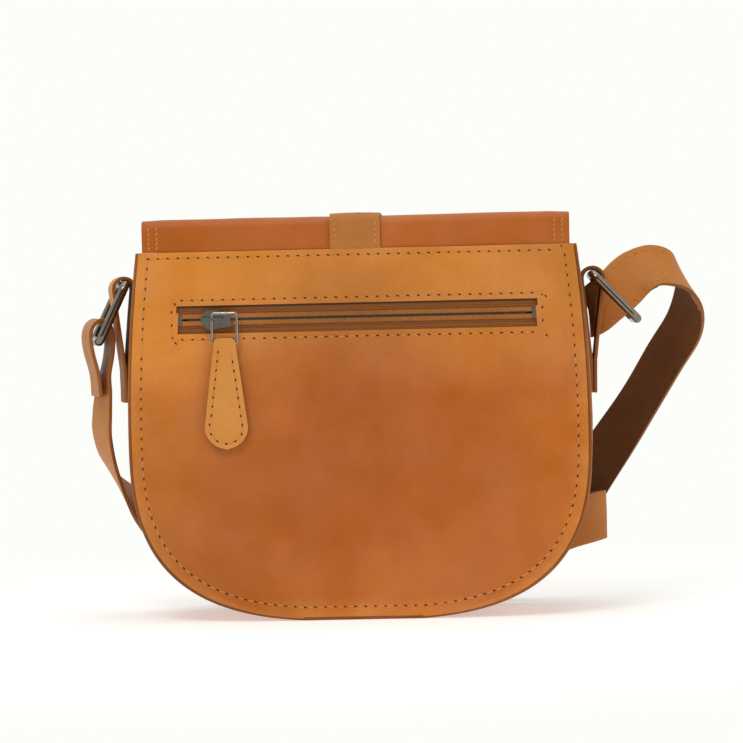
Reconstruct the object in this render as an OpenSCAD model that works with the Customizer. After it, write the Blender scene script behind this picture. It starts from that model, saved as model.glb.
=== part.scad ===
/* [Body] */
// Greatest width of the bag, seam edge to seam edge
body_w = 232.5; // [210:0.5:250]
// Width of the bag at its mouth
top_w = 221; // [205:1:231]
// Height of the mouth above the ground
body_h = 186; // [170:1:200]
// Height at which the bag is widest
belly_z = 96; // [85:1:110]
// Depth from the back panel's face to the front panel's face
depth = 70; // [60:1:85]
// Width of the level foot that the bag stands on
foot_w = 60; // [40:1:80]
// Squareness of the lower corners, 2 is an ellipse
corner_n = 2.95; // [2:0.05:3.2]
// Thickness of the panel leather
panel_t = 2; // [1.6:0.1:2.4]
// Thickness of the gusset leather
gusset_t = 2.2; // [1.8:0.1:2.6]
// How far the gusset's sewn edge shows past the panels
seam_lip = 2; // [1:0.1:3]
// Thickness of the lining cloth
lining_t = 0.8; // [0.6:0.1:1]

/* [Flap] */
// Width of the flap over the mouth
flap_w = 214; // [200:1:218]
// Height of the flap's top face above the mouth
flap_rise = 16; // [12:1:20]
// Height of the flap's lower edge above the ground
flap_low_z = 56; // [50:1:80]
// Thickness of the flap leather
flap_t = 2; // [1.6:0.1:2.2]
// Air between the front panel and the flap's back
flap_air = 3; // [2.8:0.1:4]
// Outer radius of the flap's bend over the front edge
flap_bend_r = 9; // [7:0.5:12]
// Width of the closure strap
closure_w = 25; // [20:1:30]
// Thickness of the closure strap
closure_t = 1.8; // [1.4:0.1:2]
// How far the closure strap runs past the flap's lower edge
closure_drop = 6; // [2:1:6]

/* [Zip pocket] */
// Length of the zip window
zip_l = 180; // [160:1:190]
// Height of the zip window
zip_h = 14; // [13:0.5:18]
// Depth of the zip's centre line below the mouth
zip_drop = 34; // [28:1:41]
// Spacing of the zip teeth
tooth_pitch = 2.5; // [2.2:0.1:3]
// Length of the zip slider
slider_l = 15; // [13:0.5:17]
// Height of the zip slider
slider_w = 10; // [9:0.5:11]
// Width of the wire loop on the slider
loop_w = 12.5; // [11:0.5:14]
// Diameter of the loop's wire
loop_wire_d = 1.4; // [1.2:0.1:1.5]
// Length of the leather pull
pull_l = 55; // [45:1:65]
// Greatest width of the leather pull
pull_w = 21.6; // [18:0.2:24]

/* [Rings and strap] */
// Wire diameter of the two strap rings
ring_wire_d = 4.5; // [4:0.1:5]
// Clear width inside a ring
ring_in_w = 30; // [30:0.5:32]
// Clear length inside a ring
ring_in_l = 27; // [26.5:0.5:29]
// Width of the ring tabs on the gusset
tab_w = 22; // [18:1:22]
// Thickness of the tab leather
tab_t = 2; // [1.6:0.1:2.2]
// Depth of the ring tabs' pivot below the mouth
pivot_drop = 15.5; // [13:0.5:20]
// Width of the shoulder strap
strap_w = 25; // [22:0.5:25]
// Thickness of the shoulder strap
strap_t = 2.2; // [1.8:0.1:2.4]

// Turn of the left tab, ring and strap end towards the front
left_turn = 12; // [0:1:15]

/* [Hidden] */
$fn = 48;
// Overrun that lets a cut pass through a face
cut = 1;
// Gap between pieces that move past each other, and between soft neighbours
gap = 0.3;
corner_steps = 14;
side_steps = 6;
leather = [0.72, 0.43, 0.17];
leather_dark = [0.45, 0.24, 0.09];
metal = [0.45, 0.44, 0.40];
thread_cloth = [0.35, 0.17, 0.07];

// Planes of the body, from the back panel forwards
back_y = -depth/2;
back_in_y = back_y + panel_t;
front_y = depth/2;
front_in_y = front_y - panel_t;
tape_t = 0.6;
pouch_t = 1.5;
lining_back_y = back_in_y + tape_t + pouch_t + 2*gap;
lining_front_y = front_in_y - gap;
lining_drop = 4;
lining_top = body_h - lining_drop;

// Heights set from the mouth
flap_top_z = body_h + flap_rise;
zip_z = body_h - zip_drop;
pivot_z = body_h - pivot_drop;

// Planes of the flap
strip_set = 0.5;
flap_back_y = back_y + strip_set;
flap_in_y = front_y + flap_air;
flap_out_y = flap_in_y + flap_t;
closure_out_y = flap_out_y + closure_t;
closure_back_y = flap_back_y - closure_t;
closure_top_z = flap_top_z + closure_t;
hinge_y = closure_back_y - gap;
hinge_z = closure_top_z + gap;
// Where the moving flap starts, ahead of the fixed back strip
flap_start_y = flap_back_y + flap_t + gap;
closure_start_y = closure_back_y + closure_t + gap;

// Half width of the body at height z above the belly
function half_w(z) = body_w/2 - (body_w - top_w)/2*pow((z - belly_z)/(body_h - belly_z), 2);

// Right half of a saddle outline: superellipse corner, then a side drawn in to the top
function half_outline(a, b, low, steps, foot) =
    let(t_end = acos(pow(foot/2/a, corner_n/2)),
        b_full = b/pow(sin(t_end), 2/corner_n))
    [for (i = [0:steps]) let(t = t_end*(1 - i/steps))
        [a*pow(cos(t), 2/corner_n), low + b - b_full*pow(sin(t), 2/corner_n)]];

function mirrored(half) = concat(half, [for (i = [len(half) - 1:-1:0]) [-half[i][0], half[i][1]]]);

function body_outline(inset, top) = mirrored(concat(
    half_outline(body_w/2 - inset, belly_z - inset, inset, corner_steps, foot_w),
    [for (i = [1:side_steps]) let(z = belly_z + (top - belly_z)*i/side_steps)
        [half_w(min(z, body_h)) - inset, z]]));

// Outline of the flap's drop, down to its rounded lower edge
flap_corner_h = 75;
flap_foot_w = 40;
function flap_outline(top) = mirrored(concat(
    half_outline(flap_w/2, flap_corner_h, flap_low_z, corner_steps, flap_foot_w),
    [[flap_w/2, top]]));

// Extrudes an X-Z outline from y0 forwards to y1
module upright(y0, y1) {
    translate([0, y1, 0]) rotate([90, 0, 0]) linear_extrude(y1 - y0) children();
}

module slab(x0, x1, y0, y1, z0, z1) {
    translate([x0, y0, z0]) cube([x1 - x0, y1 - y0, z1 - z0]);
}

// Wire bent into a rectangle in the X-Y plane, centred, of clear size w by l
module wire_frame(w, l, wire_d, bend_r) {
    hx = (w + wire_d)/2;
    hy = (l + wire_d)/2;
    for (s = [-1, 1]) {
        translate([s*hx, -hy + bend_r, 0]) rotate([-90, 0, 0]) cylinder(d = wire_d, h = 2*(hy - bend_r));
        translate([-hx + bend_r, s*hy, 0]) rotate([0, 90, 0]) cylinder(d = wire_d, h = 2*(hx - bend_r));
    }
    for (a = [0:3])
        translate([(a == 0 || a == 3 ? 1 : -1)*(hx - bend_r), (a < 2 ? 1 : -1)*(hy - bend_r), 0])
            rotate([0, 0, 90*a]) rotate_extrude(angle = 90) translate([bend_r, 0]) circle(d = wire_d);
}

// Arc of radius r whose ends run straight on to an edge at distance l below
arc_steps = 20;
function teardrop_arc(r, l) = let(a = acos(r/l))
    [for (i = [0:arc_steps]) let(t = a - 90 + (360 - 2*a)*i/arc_steps) [r*cos(t), r*sin(t)]];

// Body
module zip_window() {
    translate([-zip_l/2, zip_z - zip_h/2]) square([zip_l, zip_h]);
}

module back_panel() color(leather) {
    upright(back_y, back_in_y) difference() {
        polygon(body_outline(seam_lip, body_h));
        zip_window();
    }
}

module front_panel() color(leather) {
    upright(front_in_y, front_y) polygon(body_outline(seam_lip, body_h));
}

module gusset() color(leather_dark) {
    upright(back_in_y, front_in_y) difference() {
        polygon(body_outline(0, body_h));
        polygon(body_outline(gusset_t, body_h + cut));
    }
}

module lining() color(thread_cloth) {
    difference() {
        upright(lining_back_y, lining_front_y) polygon(body_outline(gusset_t + gap, lining_top));
        upright(lining_back_y + lining_t, lining_front_y - lining_t)
            polygon(body_outline(gusset_t + gap + lining_t, lining_top + cut));
    }
}

pouch_w = 190;
pouch_low_z = 62;
pouch_r = 20;
module pocket_pouch() color(thread_cloth) {
    top = zip_z + tape_w;
    upright(back_in_y + tape_t, back_in_y + tape_t + pouch_t) {
        translate([-pouch_w/2, pouch_low_z + pouch_r]) square([pouch_w, top - pouch_low_z - pouch_r]);
        translate([-pouch_w/2 + pouch_r, pouch_low_z]) square([pouch_w - 2*pouch_r, pouch_r]);
        for (s = [-1, 1]) translate([s*(pouch_w/2 - pouch_r), pouch_low_z + pouch_r]) circle(pouch_r);
    }
}

// Zip
tape_w = 14;
bead_h = 1.2;
bead_off = 1.6;
tooth_h = 1.3;
tooth_front_y = back_in_y - tooth_h;
tooth_gap = 0.2;
tooth_past = 0.9;
module zip_tape(side) color(leather_dark) {
    z0 = side > 0 ? zip_z + bead_off : zip_z - tape_w;
    z1 = side > 0 ? zip_z + tape_w : zip_z - bead_off;
    slab(-zip_l/2 - tape_end, zip_l/2 + tape_end, back_in_y, back_in_y + tape_t, z0, z1);
}
tape_end = 3;

module zip_teeth(side) color(metal) {
    first = -zip_l/2 + 2*tooth_pitch;
    n = floor((zip_l - 4*tooth_pitch)/tooth_pitch);
    tooth_l = tooth_pitch/2 - tooth_gap;
    z0 = side > 0 ? zip_z + bead_off : zip_z - bead_off - bead_h;
    slab(first - tooth_pitch, -first + tooth_pitch, tooth_front_y, back_in_y, z0, z0 + bead_h);
    for (i = [0:n - 1]) {
        x = first + i*tooth_pitch + (side > 0 ? 0 : tooth_pitch/2);
        z = side > 0 ? zip_z - tooth_past : zip_z - bead_off;
        slab(x, x + tooth_l, tooth_front_y, back_in_y, z, z + bead_off + tooth_past);
    }
}

stop_l = 2;
module zip_end_stops() color(metal) {
    for (s = [-1, 1]) translate([s*(zip_l/2 - stop_l/2 - gap), 0, 0])
        slab(-stop_l/2, stop_l/2, tooth_front_y, back_in_y,
            zip_z - bead_off - bead_h, zip_z + bead_off + bead_h);
}

// Slider at rest near the left end: a shield plate with two rails and a bridge
slider_x = -70.5;
slider_plate_t = 1.5;
slider_in_y = tooth_front_y - gap;
slider_out_y = slider_in_y - slider_plate_t;
rail_h = 1;
bridge_l = 10.5;
bridge_foot = 1.4;
bridge_h = 1.8;
bridge_t = 1.4;
loop_stand = 1.3;
tunnel_h = loop_stand + loop_wire_d + gap;
bridge_set = 2;
bridge_x = slider_x - bridge_set;
module zip_slider() color(metal) {
    nose_r = slider_w/2;
    tail_w_share = 0.72;
    upright(slider_out_y, slider_in_y) translate([slider_x, zip_z]) {
        translate([-slider_l/2 + nose_r, 0]) circle(nose_r);
        polygon([[-slider_l/2 + nose_r, -nose_r], [slider_l/2, -nose_r*tail_w_share],
            [slider_l/2, nose_r*tail_w_share], [-slider_l/2 + nose_r, nose_r]]);
    }
    for (s = [-1, 1]) translate([slider_x, 0, zip_z + s*(bead_off + bead_h + gap + rail_h/2)])
        slab(-slider_l/4, slider_l/8, slider_in_y, back_in_y - gap, -rail_h/2, rail_h/2);
    translate([bridge_x - bridge_l/2, slider_out_y - tunnel_h - bridge_t, zip_z - bridge_h/2]) difference() {
        cube([bridge_l, tunnel_h + bridge_t + cut/2, bridge_h]);
        translate([bridge_foot, bridge_t, -cut])
            cube([bridge_l - 2*bridge_foot, tunnel_h, bridge_h + 2*cut]);
    }
}

// Wire loop through the slider's bridge, and the leather pull that hangs from it
loop_y = slider_out_y - loop_stand - loop_wire_d/2;
loop_x = bridge_x + loop_w/2;
loop_over = 3;
pin_drop = 12;
loop_top_z = zip_z + loop_over;
pin_z = zip_z - pin_drop;
loop_bend_r = 1.2;
module pull_loop() color(metal) {
    h = loop_top_z - pin_z;
    translate([loop_x, loop_y, (loop_top_z + pin_z)/2]) rotate([90, 0, 0])
        wire_frame(loop_w - loop_wire_d, h - loop_wire_d, loop_wire_d, loop_bend_r);
}

pull_t = 2.4;
pull_neck_w = 10.2;
pull_corner = 1.2;
pull_hole_slack = 0.15;
pull_head = 2.45;
module leather_pull() color(leather) {
    low_r = pull_w/2;
    top_z = pin_z + pull_head;
    low_z = top_z - pull_l + low_r;
    neck_x = pull_neck_w/2;
    difference() {
        translate([loop_x, 0, 0]) upright(loop_y - pull_t/2, loop_y + pull_t/2) {
            translate([0, low_z]) circle(low_r);
            polygon(mirrored([[low_r, low_z], [neck_x, top_z - pull_corner], [neck_x - pull_corner, top_z]]));
        }
        translate([loop_x - pull_w/2, loop_y, pin_z]) rotate([0, 90, 0])
            cylinder(r = loop_wire_d/2 + pull_hole_slack, h = pull_w);
    }
}

// Ring tabs: a leather strip folded round the ring's upper bar and sewn to the gusset
tab_loop_slack = 1.9;
tab_loop_r = ring_wire_d/2 + gap + tab_loop_slack;
tab_l = 58;
pivot_x = half_w(pivot_z) + gap + tab_loop_r + tab_t;
left_pivot_x = pivot_x + tab_w/2*sin(left_turn);
tab_foot_x = half_w(pivot_z - tab_l) + gap + tab_t;
tab_lean = asin((pivot_x - tab_foot_x)/tab_l);
module ring_tab(side) color(leather) {
    r = tab_loop_r + tab_t;
    meet_z = tab_t/tan(asin(r/tab_l)) - tab_l;
    mirror([side < 0 ? 1 : 0, 0, 0]) translate([side < 0 ? left_pivot_x : pivot_x, 0, pivot_z - tab_loop_slack])
        rotate([0, tab_lean, side < 0 ? -left_turn : 0]) upright(-tab_w/2, tab_w/2) difference() {
            polygon(concat(teardrop_arc(r, tab_l),
                [[-tab_t, meet_z], [-tab_t, -tab_l], [tab_t, -tab_l], [tab_t, meet_z]]));
            polygon(concat(teardrop_arc(tab_loop_r, tab_l/2), [[0, -tab_l/2]]));
        }
}

// Strap rings hang from the tabs, swung out from the body
ring_bend_r = 3.5;
ring_len = ring_in_l + ring_wire_d;
left_swing = 25.7;
right_swing = 43.7;
module strap_ring(swing) {
    rotate([0, -swing, 0]) translate([0, 0, -ring_len/2]) rotate([90, 0, 90])
        wire_frame(ring_in_w, ring_in_l, ring_wire_d, ring_bend_r);
}
module ring_left() color(metal)
    translate([-left_pivot_x, 0, pivot_z]) rotate([0, 0, left_turn]) strap_ring(-left_swing);
module ring_right() color(metal) translate([pivot_x, 0, pivot_z]) strap_ring(right_swing);

// Flap
module quarter(r_out, r_in, x0, x1, cy, cz) {
    translate([x0, cy, cz]) rotate([90, 0, 90]) linear_extrude(x1 - x0) difference() {
        intersection() {
            circle(r_out);
            square(r_out);
        }
        circle(r_in);
    }
}

module flap_back_strip() color(leather) {
    slab(-flap_w/2, flap_w/2, flap_back_y, flap_back_y + flap_t, body_h, flap_top_z);
}

// Leather that runs forward over the mouth, bends down and ends in an outline
module folded_leather(w, t, start_y, out_y, top_z, bend_r) {
    cy = out_y - bend_r;
    cz = top_z - bend_r;
    slab(-w/2, w/2, start_y, cy, top_z - t, top_z);
    quarter(bend_r, bend_r - t, -w/2, w/2, cy, cz);
    upright(out_y - t, out_y) children();
}

module flap() color(leather) {
    folded_leather(flap_w, flap_t, flap_start_y, flap_out_y, flap_top_z, flap_bend_r)
        polygon(flap_outline(flap_top_z - flap_bend_r));
}

module closure_strap_back() color(leather) {
    slab(-closure_w/2, closure_w/2, closure_back_y, flap_back_y, body_h, closure_top_z);
}

closure_low_z = flap_low_z - closure_drop;
module closure_strap() color(leather) {
    bend_r = flap_bend_r + closure_t;
    eye_clear_r = prong_eye_r + prong_t + gap;
    difference() {
        folded_leather(closure_w, closure_t, closure_start_y, closure_out_y, closure_top_z, bend_r) {
            translate([-closure_w/2, closure_low_z + closure_w/2])
                square([closure_w, closure_top_z - bend_r - closure_low_z - closure_w/2]);
            translate([0, closure_low_z + closure_w/2]) circle(closure_w/2);
        }
        slab(-prong_w/2 - gap, prong_w/2 + gap, flap_out_y - cut, closure_out_y + cut,
            buckle_pivot_z - eye_clear_r, buckle_pivot_z + eye_clear_r);
    }
}

// Buckle on the closure strap
buckle_wire_d = 2.6;
buckle_l = 16;
buckle_slack = 1.2;
buckle_z = 100;
buckle_bend_r = 2.5;
buckle_y = closure_out_y + buckle_wire_d/2;
buckle_pivot_z = buckle_z + (buckle_l + buckle_wire_d)/2;
module closure_buckle_frame() color(metal) {
    translate([0, buckle_y, buckle_z]) rotate([90, 0, 0])
        wire_frame(closure_w + buckle_slack, buckle_l, buckle_wire_d, buckle_bend_r);
}

prong_w = 3;
prong_t = 1.3;
prong_play = 0.08;
prong_eye_r = buckle_wire_d/2 + prong_play;
module closure_prong() color(metal) {
    y1 = buckle_y + prong_eye_r + prong_t;
    z0 = buckle_pivot_z - buckle_l - buckle_wire_d;
    difference() {
        union() {
            translate([-prong_w/2, buckle_y, buckle_pivot_z]) rotate([0, 90, 0])
                cylinder(r = prong_eye_r + prong_t, h = prong_w);
            slab(-prong_w/2, prong_w/2, y1 - prong_t, y1, z0, buckle_pivot_z);
        }
        translate([-prong_w, buckle_y, buckle_pivot_z]) rotate([0, 90, 0])
            cylinder(r = prong_eye_r, h = 2*prong_w);
    }
}

// Leather band that holds the closure strap's end down
keeper_z = 78;
keeper_h = 8;
keeper_t = 1.5;
module closure_keeper() color(leather) {
    difference() {
        slab(-closure_w/2 - keeper_t, closure_w/2 + keeper_t, flap_out_y, closure_out_y + keeper_t,
            keeper_z, keeper_z + keeper_h);
        slab(-closure_w/2, closure_w/2, flap_out_y - cut, closure_out_y,
            keeper_z - cut, keeper_z + keeper_h + cut);
    }
}

// Magnetic snap between the panel and the flap
magnet_r = 9;
magnet_z = 82;
magnet_t = (flap_air - gap)/2;
module magnet(y) {
    translate([0, y + magnet_t, magnet_z]) rotate([90, 0, 0]) cylinder(r = magnet_r, h = magnet_t);
}
module magnet_on_panel() color(metal) magnet(front_y);
module magnet_on_flap() color(metal) magnet(flap_in_y - magnet_t);

// Catmull-Rom curve through hand-picked stations
function spline(a, b, c, d, t) =
    0.5*(2*b + (c - a)*t + (2*a - 5*b + 4*c - d)*t*t + (3*b - a - 3*c + d)*t*t*t);
function smooth(r, n) = concat(
    [for (i = [0:len(r) - 2], k = [0:n - 1])
        spline(r[max(i - 1, 0)], r[i], r[i + 1], r[min(i + 2, len(r) - 1)], k/n)],
    [r[len(r) - 1]]);
function unit(v) = v/norm(v);
function place(s) = [s[0], s[1], s[2]];
function along(s, i) = unit(place(s[min(i + 1, len(s) - 1)]) - place(s[max(i - 1, 0)]));

// Flat strip along stations [x, y, z, across_x, across_y, across_z]
module ribbon(route, w, t, n) {
    s = smooth(route, n);
    last = len(s) - 1;
    corners = [for (i = [0:last])
        let(dir = along(s, i), a = [s[i][3], s[i][4], s[i][5]],
            u = unit(a - (a*dir)*dir), f = cross(dir, u), p = place(s[i]))
        each [p + u*w/2 + f*t/2, p - u*w/2 + f*t/2, p - u*w/2 - f*t/2, p + u*w/2 - f*t/2]];
    walls = [for (i = [0:last - 1], k = [0:3])
        let(a = 4*i + k, b = 4*i + (k + 1)%4)
        each [[a, a + 4, b + 4], [a, b + 4, b]]];
    caps = [[0, 1, 2], [0, 2, 3], [4*last + 2, 4*last + 1, 4*last], [4*last + 3, 4*last + 2, 4*last]];
    polyhedron(corners, concat(walls, caps));
}

// Stations of the long strap: folded end at the right ring, over, down behind the bag, back and forth
long_route = [
    [150, 21, 174, 0.3, -0.5, -0.75], [142, 21, 171, 0.5, -0.35, -0.8], [134, 22, 163.5, 0.7, 0, -0.7],
    [128, 21.2, 158.5, 0.7, 0, -0.7], [124.6, 17.2, 155.8, 0.7, 0, -0.7], [128, 13.2, 158.5, 0.7, 0, -0.7],
    [134, 13, 163.5, 0.7, 0, -0.7], [142, 15.5, 171, 0.5, -0.35, -0.8], [153, 18, 175, 0.2, -0.55, -0.8],
    [165, 24, 171, 0.3, -0.6, -0.75], [171, 36, 160, 0.45, -0.65, -0.65], [169, 48, 144, 0.65, -0.65, -0.5],
    [159, 57, 127, 0.7, -0.6, -0.42], [144.5, 61, 103, 0.7, -0.6, -0.42], [124, 62, 73, 0.75, -0.3, -0.5],
    [102, 62, 43, 0.7, 0, -0.7], [76, 62, 22, 0.4, 0, -0.9], [50, 62, 14, 0, 0, -1],
    [0, 62, 13, 0, 0, -1], [-50, 62, 13, 0, 0, -1], [-78, 62, 13, 0, 0, -1], [-85, 59, 13, 0, 0, -1],
    [-78, 56, 13, 0, 0, -1], [-50, 56, 13, 0, 0, -1], [0, 56, 13, 0, 0, -1], [45, 56, 15, 0, 0, -1],
    [75, 56, 24, 0.3, 0, -1], [100, 56, 36, 0.4, 0, -0.9], [118, 54, 44, 0.3, 0, -0.95],
    [125, 48, 47.5, 0.15, 0, -1], [118, 42, 44, 0.3, 0, -0.95], [100, 40, 36, 0.4, 0, -0.9],
    [75, 40, 25, 0.3, 0, -1], [45, 40, 18, 0, 0, -1], [20, 40, 17, 0, 0, -1], [2, 40.7, 17, 0, 0, -1],
    [-10, 41, 17, 0, 0, -1], [-14.5, 41, 17, 0, 0, -1], [-16.8, 42.1, 17, 0, 0, -1],
    [-17.7, 44.1, 17, 0, 0, -1], [-16.8, 46.1, 17, 0, 0, -1], [-14.5, 47.2, 17, 0, 0, -1],
    [-10, 47, 17, 0, 0, -1], [4, 44.4, 17, 0, 0, -1], [30, 43, 17, 0, 0, -1]];

// Stations of the short strap: folded end at the left ring, then down round the side to the joining loop
short_route = [
    [-137.3, -3.9, 114, 0.28, -0.96, 0], [-138, -4.2, 126, 0.28, -0.96, 0],
    [-139.3, -4.7, 137, 0.28, -0.96, 0],
    [-139.6, -4.8, 145, 0.28, -0.96, 0], [-137.8, -4.2, 150.6, 0.28, -0.96, 0],
    [-133.8, -2.6, 153, 0.28, -0.96, 0], [-129.9, -1.1, 150.4, 0.28, -0.96, 0],
    [-128.4, -0.6, 144, 0.28, -0.96, 0], [-129, -0.9, 135, 0.28, -0.96, 0], [-129.8, -1.2, 126, 0.3, -0.95, 0],
    [-129.9, -1.2, 116, 0.32, -0.95, 0], [-129.4, -0.8, 106, 0.33, -0.94, 0], [-128.4, 1.5, 94, 0.32, -0.94, -0.1],
    [-126.2, 8, 80, 0.3, -0.9, -0.25], [-122.8, 18.5, 67.5, 0.25, -0.82, -0.5],
    [-118.2, 29.5, 57, 0.15, -0.65, -0.75], [-111.5, 38.5, 49.5, 0.05, -0.35, -0.93],
    [-101, 44.5, 43, 0, -0.12, -1], [-87, 47, 36, 0, 0, -1], [-71, 45.5, 27.5, 0, 0, -1],
    [-55, 42, 20, 0, 0, -1], [-45, 41.1, 17.6, 0, 0, -1],
    [-36, 41, 17, 0, 0, -1], [-31.5, 41, 17, 0, 0, -1], [-29.2, 42.1, 17, 0, 0, -1],
    [-28.3, 44.1, 17, 0, 0, -1], [-29.2, 46.1, 17, 0, 0, -1], [-31.5, 47.2, 17, 0, 0, -1],
    [-36, 47, 17, 0, 0, -1], [-48, 45.2, 17.4, 0, 0, -1], [-60, 46, 20, 0, 0, -1]];

// Moves the stations with the ring pivots and the front panel when the bag's size changes
drawn_pivot_x = 119.06;
drawn_pivot_z = 170.5;
drawn_front_y = 35;
drawn_still = 60;
drawn_behind_y = 40;
function clamp(v) = max(0, min(1, v));
function fitted(route) = [for (s = route) [
    s[0] + sign(s[0])*(pivot_x - drawn_pivot_x)*clamp((abs(s[0]) - drawn_still)/(drawn_pivot_x - drawn_still)),
    s[1] + (front_y - drawn_front_y)*clamp(s[1]/drawn_behind_y),
    s[2] + (pivot_z - drawn_pivot_z)*clamp((s[2] - drawn_still)/(drawn_pivot_z - drawn_still)),
    s[3], s[4], s[5]]];

ribbon_steps = 3;
module strap_long() color(leather) ribbon(fitted(long_route), strap_w, strap_t, ribbon_steps);
module strap_short() color(leather) ribbon(fitted(short_route), strap_w, strap_t, ribbon_steps);

// Loop that joins the two straps behind the bag
joining_wire_d = 3;
joining_x = -23;
joining_stand = 9.1;
joining_y = front_y + joining_stand;
joining_z = 17;
joining_l = 14;
module strap_joining_loop() color(metal) {
    translate([joining_x, joining_y, joining_z]) rotate([90, 90, 0])
        wire_frame(strap_w + 2*gap, joining_l, joining_wire_d, joining_wire_d);
}

stud_r = 3;
stud_t = 1.2;
stud_x = 22;
stud_stand = 8.8;
module strap_studs() color(metal) {
    translate([stud_x, front_y + stud_stand + strap_t/2, joining_z]) rotate([-90, 0, 0])
        cylinder(r = stud_r, h = stud_t);
}

back_panel();
front_panel();
gusset();
lining();
pocket_pouch();
flap_back_strip();
closure_strap_back();
zip_tape(1);  // zip_tape_upper
zip_tape(-1);  // zip_tape_lower
zip_teeth(1);  // zip_teeth_upper
zip_teeth(-1);  // zip_teeth_lower
zip_end_stops();
ring_tab(-1);  // ring_tab_left
ring_tab(1);  // ring_tab_right
magnet_on_panel();
strap_long();
strap_short();
strap_joining_loop();
strap_studs();
flap();
closure_strap();
closure_buckle_frame();
closure_keeper();
magnet_on_flap();
zip_slider();
pull_loop();
leather_pull();
ring_left();
ring_right();
closure_prong();
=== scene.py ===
import bisect
import math

import bpy
from mathutils import Matrix, Vector, noise


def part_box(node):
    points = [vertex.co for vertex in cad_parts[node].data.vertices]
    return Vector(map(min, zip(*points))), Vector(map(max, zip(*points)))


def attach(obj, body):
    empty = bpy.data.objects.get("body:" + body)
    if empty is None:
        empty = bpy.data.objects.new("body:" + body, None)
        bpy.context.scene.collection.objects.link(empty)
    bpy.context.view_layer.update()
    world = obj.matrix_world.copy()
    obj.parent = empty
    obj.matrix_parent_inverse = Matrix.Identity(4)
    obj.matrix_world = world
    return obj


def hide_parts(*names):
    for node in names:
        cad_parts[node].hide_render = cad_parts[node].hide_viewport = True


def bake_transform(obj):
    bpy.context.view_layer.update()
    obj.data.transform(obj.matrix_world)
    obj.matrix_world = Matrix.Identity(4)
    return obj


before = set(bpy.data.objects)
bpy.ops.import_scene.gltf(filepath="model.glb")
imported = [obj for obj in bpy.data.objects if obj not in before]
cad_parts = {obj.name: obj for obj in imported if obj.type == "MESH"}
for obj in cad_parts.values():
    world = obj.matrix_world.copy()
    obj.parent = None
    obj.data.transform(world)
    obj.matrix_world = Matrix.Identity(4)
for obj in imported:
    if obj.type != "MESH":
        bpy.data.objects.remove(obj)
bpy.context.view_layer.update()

bl_info = {
    "name": "Saddle Shoulder Bag",
    "version": (1, 0, 0),
    "blender": (4, 5, 0),
    "location": "View3D > Sidebar > Bag",
    "description": "Dresses the packed bag in stitched, waxed leather, cloth and antique metal",
    "category": "Object",
}

MM = 0.001
PANEL_LOW, PANEL_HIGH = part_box("back_panel")
GUSSET_LOW, GUSSET_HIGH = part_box("gusset")
FRONT_LOW, FRONT_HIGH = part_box("front_panel")
FLAP_LOW, FLAP_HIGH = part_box("flap")
STRIP_LOW, STRIP_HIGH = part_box("flap_back_strip")
CLOSURE_LOW, CLOSURE_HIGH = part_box("closure_strap")
CLOSURE_BACK_LOW, CLOSURE_BACK_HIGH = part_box("closure_strap_back")

# The saddle outline, as the solids have it
BODY_W = GUSSET_HIGH[0] - GUSSET_LOW[0]
TOP_W = 221 * MM
BODY_H = GUSSET_HIGH[2]
BELLY_Z = 96 * MM
FOOT_W = 60 * MM
CORNER_N = 2.95
SEAM_LIP = 2 * MM
GUSSET_T = 2.2 * MM
ZIP_L = 180 * MM
ZIP_H = 14 * MM
ZIP_Z = 152 * MM
PIVOT_Z = 170.5 * MM
STRAP_W = 25 * MM
STRAP_T = 2.2 * MM
SHOWN_STRAP_T = STRAP_T - 0.2 * MM
STRAP_DOME = 0.2 * MM


def foot_turn(a, foot):
    """Angle at which a corner of half width a meets its level foot."""
    return math.acos((foot / 2 / a) ** (CORNER_N / 2))


def foot_reach(turn, b):
    """The superellipse's own half height that puts its level foot at b below its widest place."""
    return b / math.sin(turn) ** (2 / CORNER_N)


def corner_points(a, turn, reach, centre_z, steps):
    """Points (x, z) of a right lower corner, from its foot up to its widest place."""
    power = 2 / CORNER_N
    turns = [turn * (1 - i / steps) for i in range(steps + 1)]
    return [(a * math.cos(t) ** power, centre_z - reach * math.sin(t) ** power) for t in turns]


def half_width(z, inset=0.0):
    """Half width of the body at height z, drawn in by inset."""
    if z >= BELLY_Z:
        share = (z - BELLY_Z) / (BODY_H - BELLY_Z)
        return BODY_W / 2 - (BODY_W - TOP_W) / 2 * share ** 2 - inset
    a = BODY_W / 2 - inset
    reach = foot_reach(foot_turn(a, FOOT_W), BELLY_Z - inset)
    drop = min((BELLY_Z - z) / reach, 1.0)
    return a * (1 - drop ** CORNER_N) ** (1 / CORNER_N)


def body_outline(inset, top, steps=90):
    """Points (x, z) from the left mouth corner round the bottom to the right one."""
    a = BODY_W / 2 - inset
    turn = foot_turn(a, FOOT_W)
    right = corner_points(a, turn, foot_reach(turn, BELLY_Z - inset), BELLY_Z, steps)
    for i in range(1, steps // 3 + 1):
        z = BELLY_Z + (top - BELLY_Z) * 3 * i / steps
        right.append((half_width(z, inset), z))
    return [(-x, z) for x, z in reversed(right)] + right


class Rail:
    """A path of points, read by distance along it."""

    def __init__(self, points):
        self.points = [Vector(p) for p in points]
        self.marks = [0.0]
        for a, b in zip(self.points, self.points[1:]):
            self.marks.append(self.marks[-1] + (b - a).length)
        self.length = self.marks[-1]

    def find(self, s):
        """The point before distance s, and the share of the way from it to the next one."""
        s = min(max(s, 0.0), self.length)
        low = min(bisect.bisect_right(self.marks, s), len(self.marks) - 1) - 1
        span = self.marks[low + 1] - self.marks[low]
        return low, (s - self.marks[low]) / span if span else 0.0

    def at(self, s):
        low, share = self.find(s)
        return self.points[low].lerp(self.points[low + 1], share)

    def heading(self, s, step=0.6 * MM):
        return (self.at(s + step) - self.at(s - step)).normalized()


def bump_at(x, centre, spread):
    """A smooth hill of height 1 at centre."""
    return math.exp(-((x - centre) / spread) ** 2)


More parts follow.
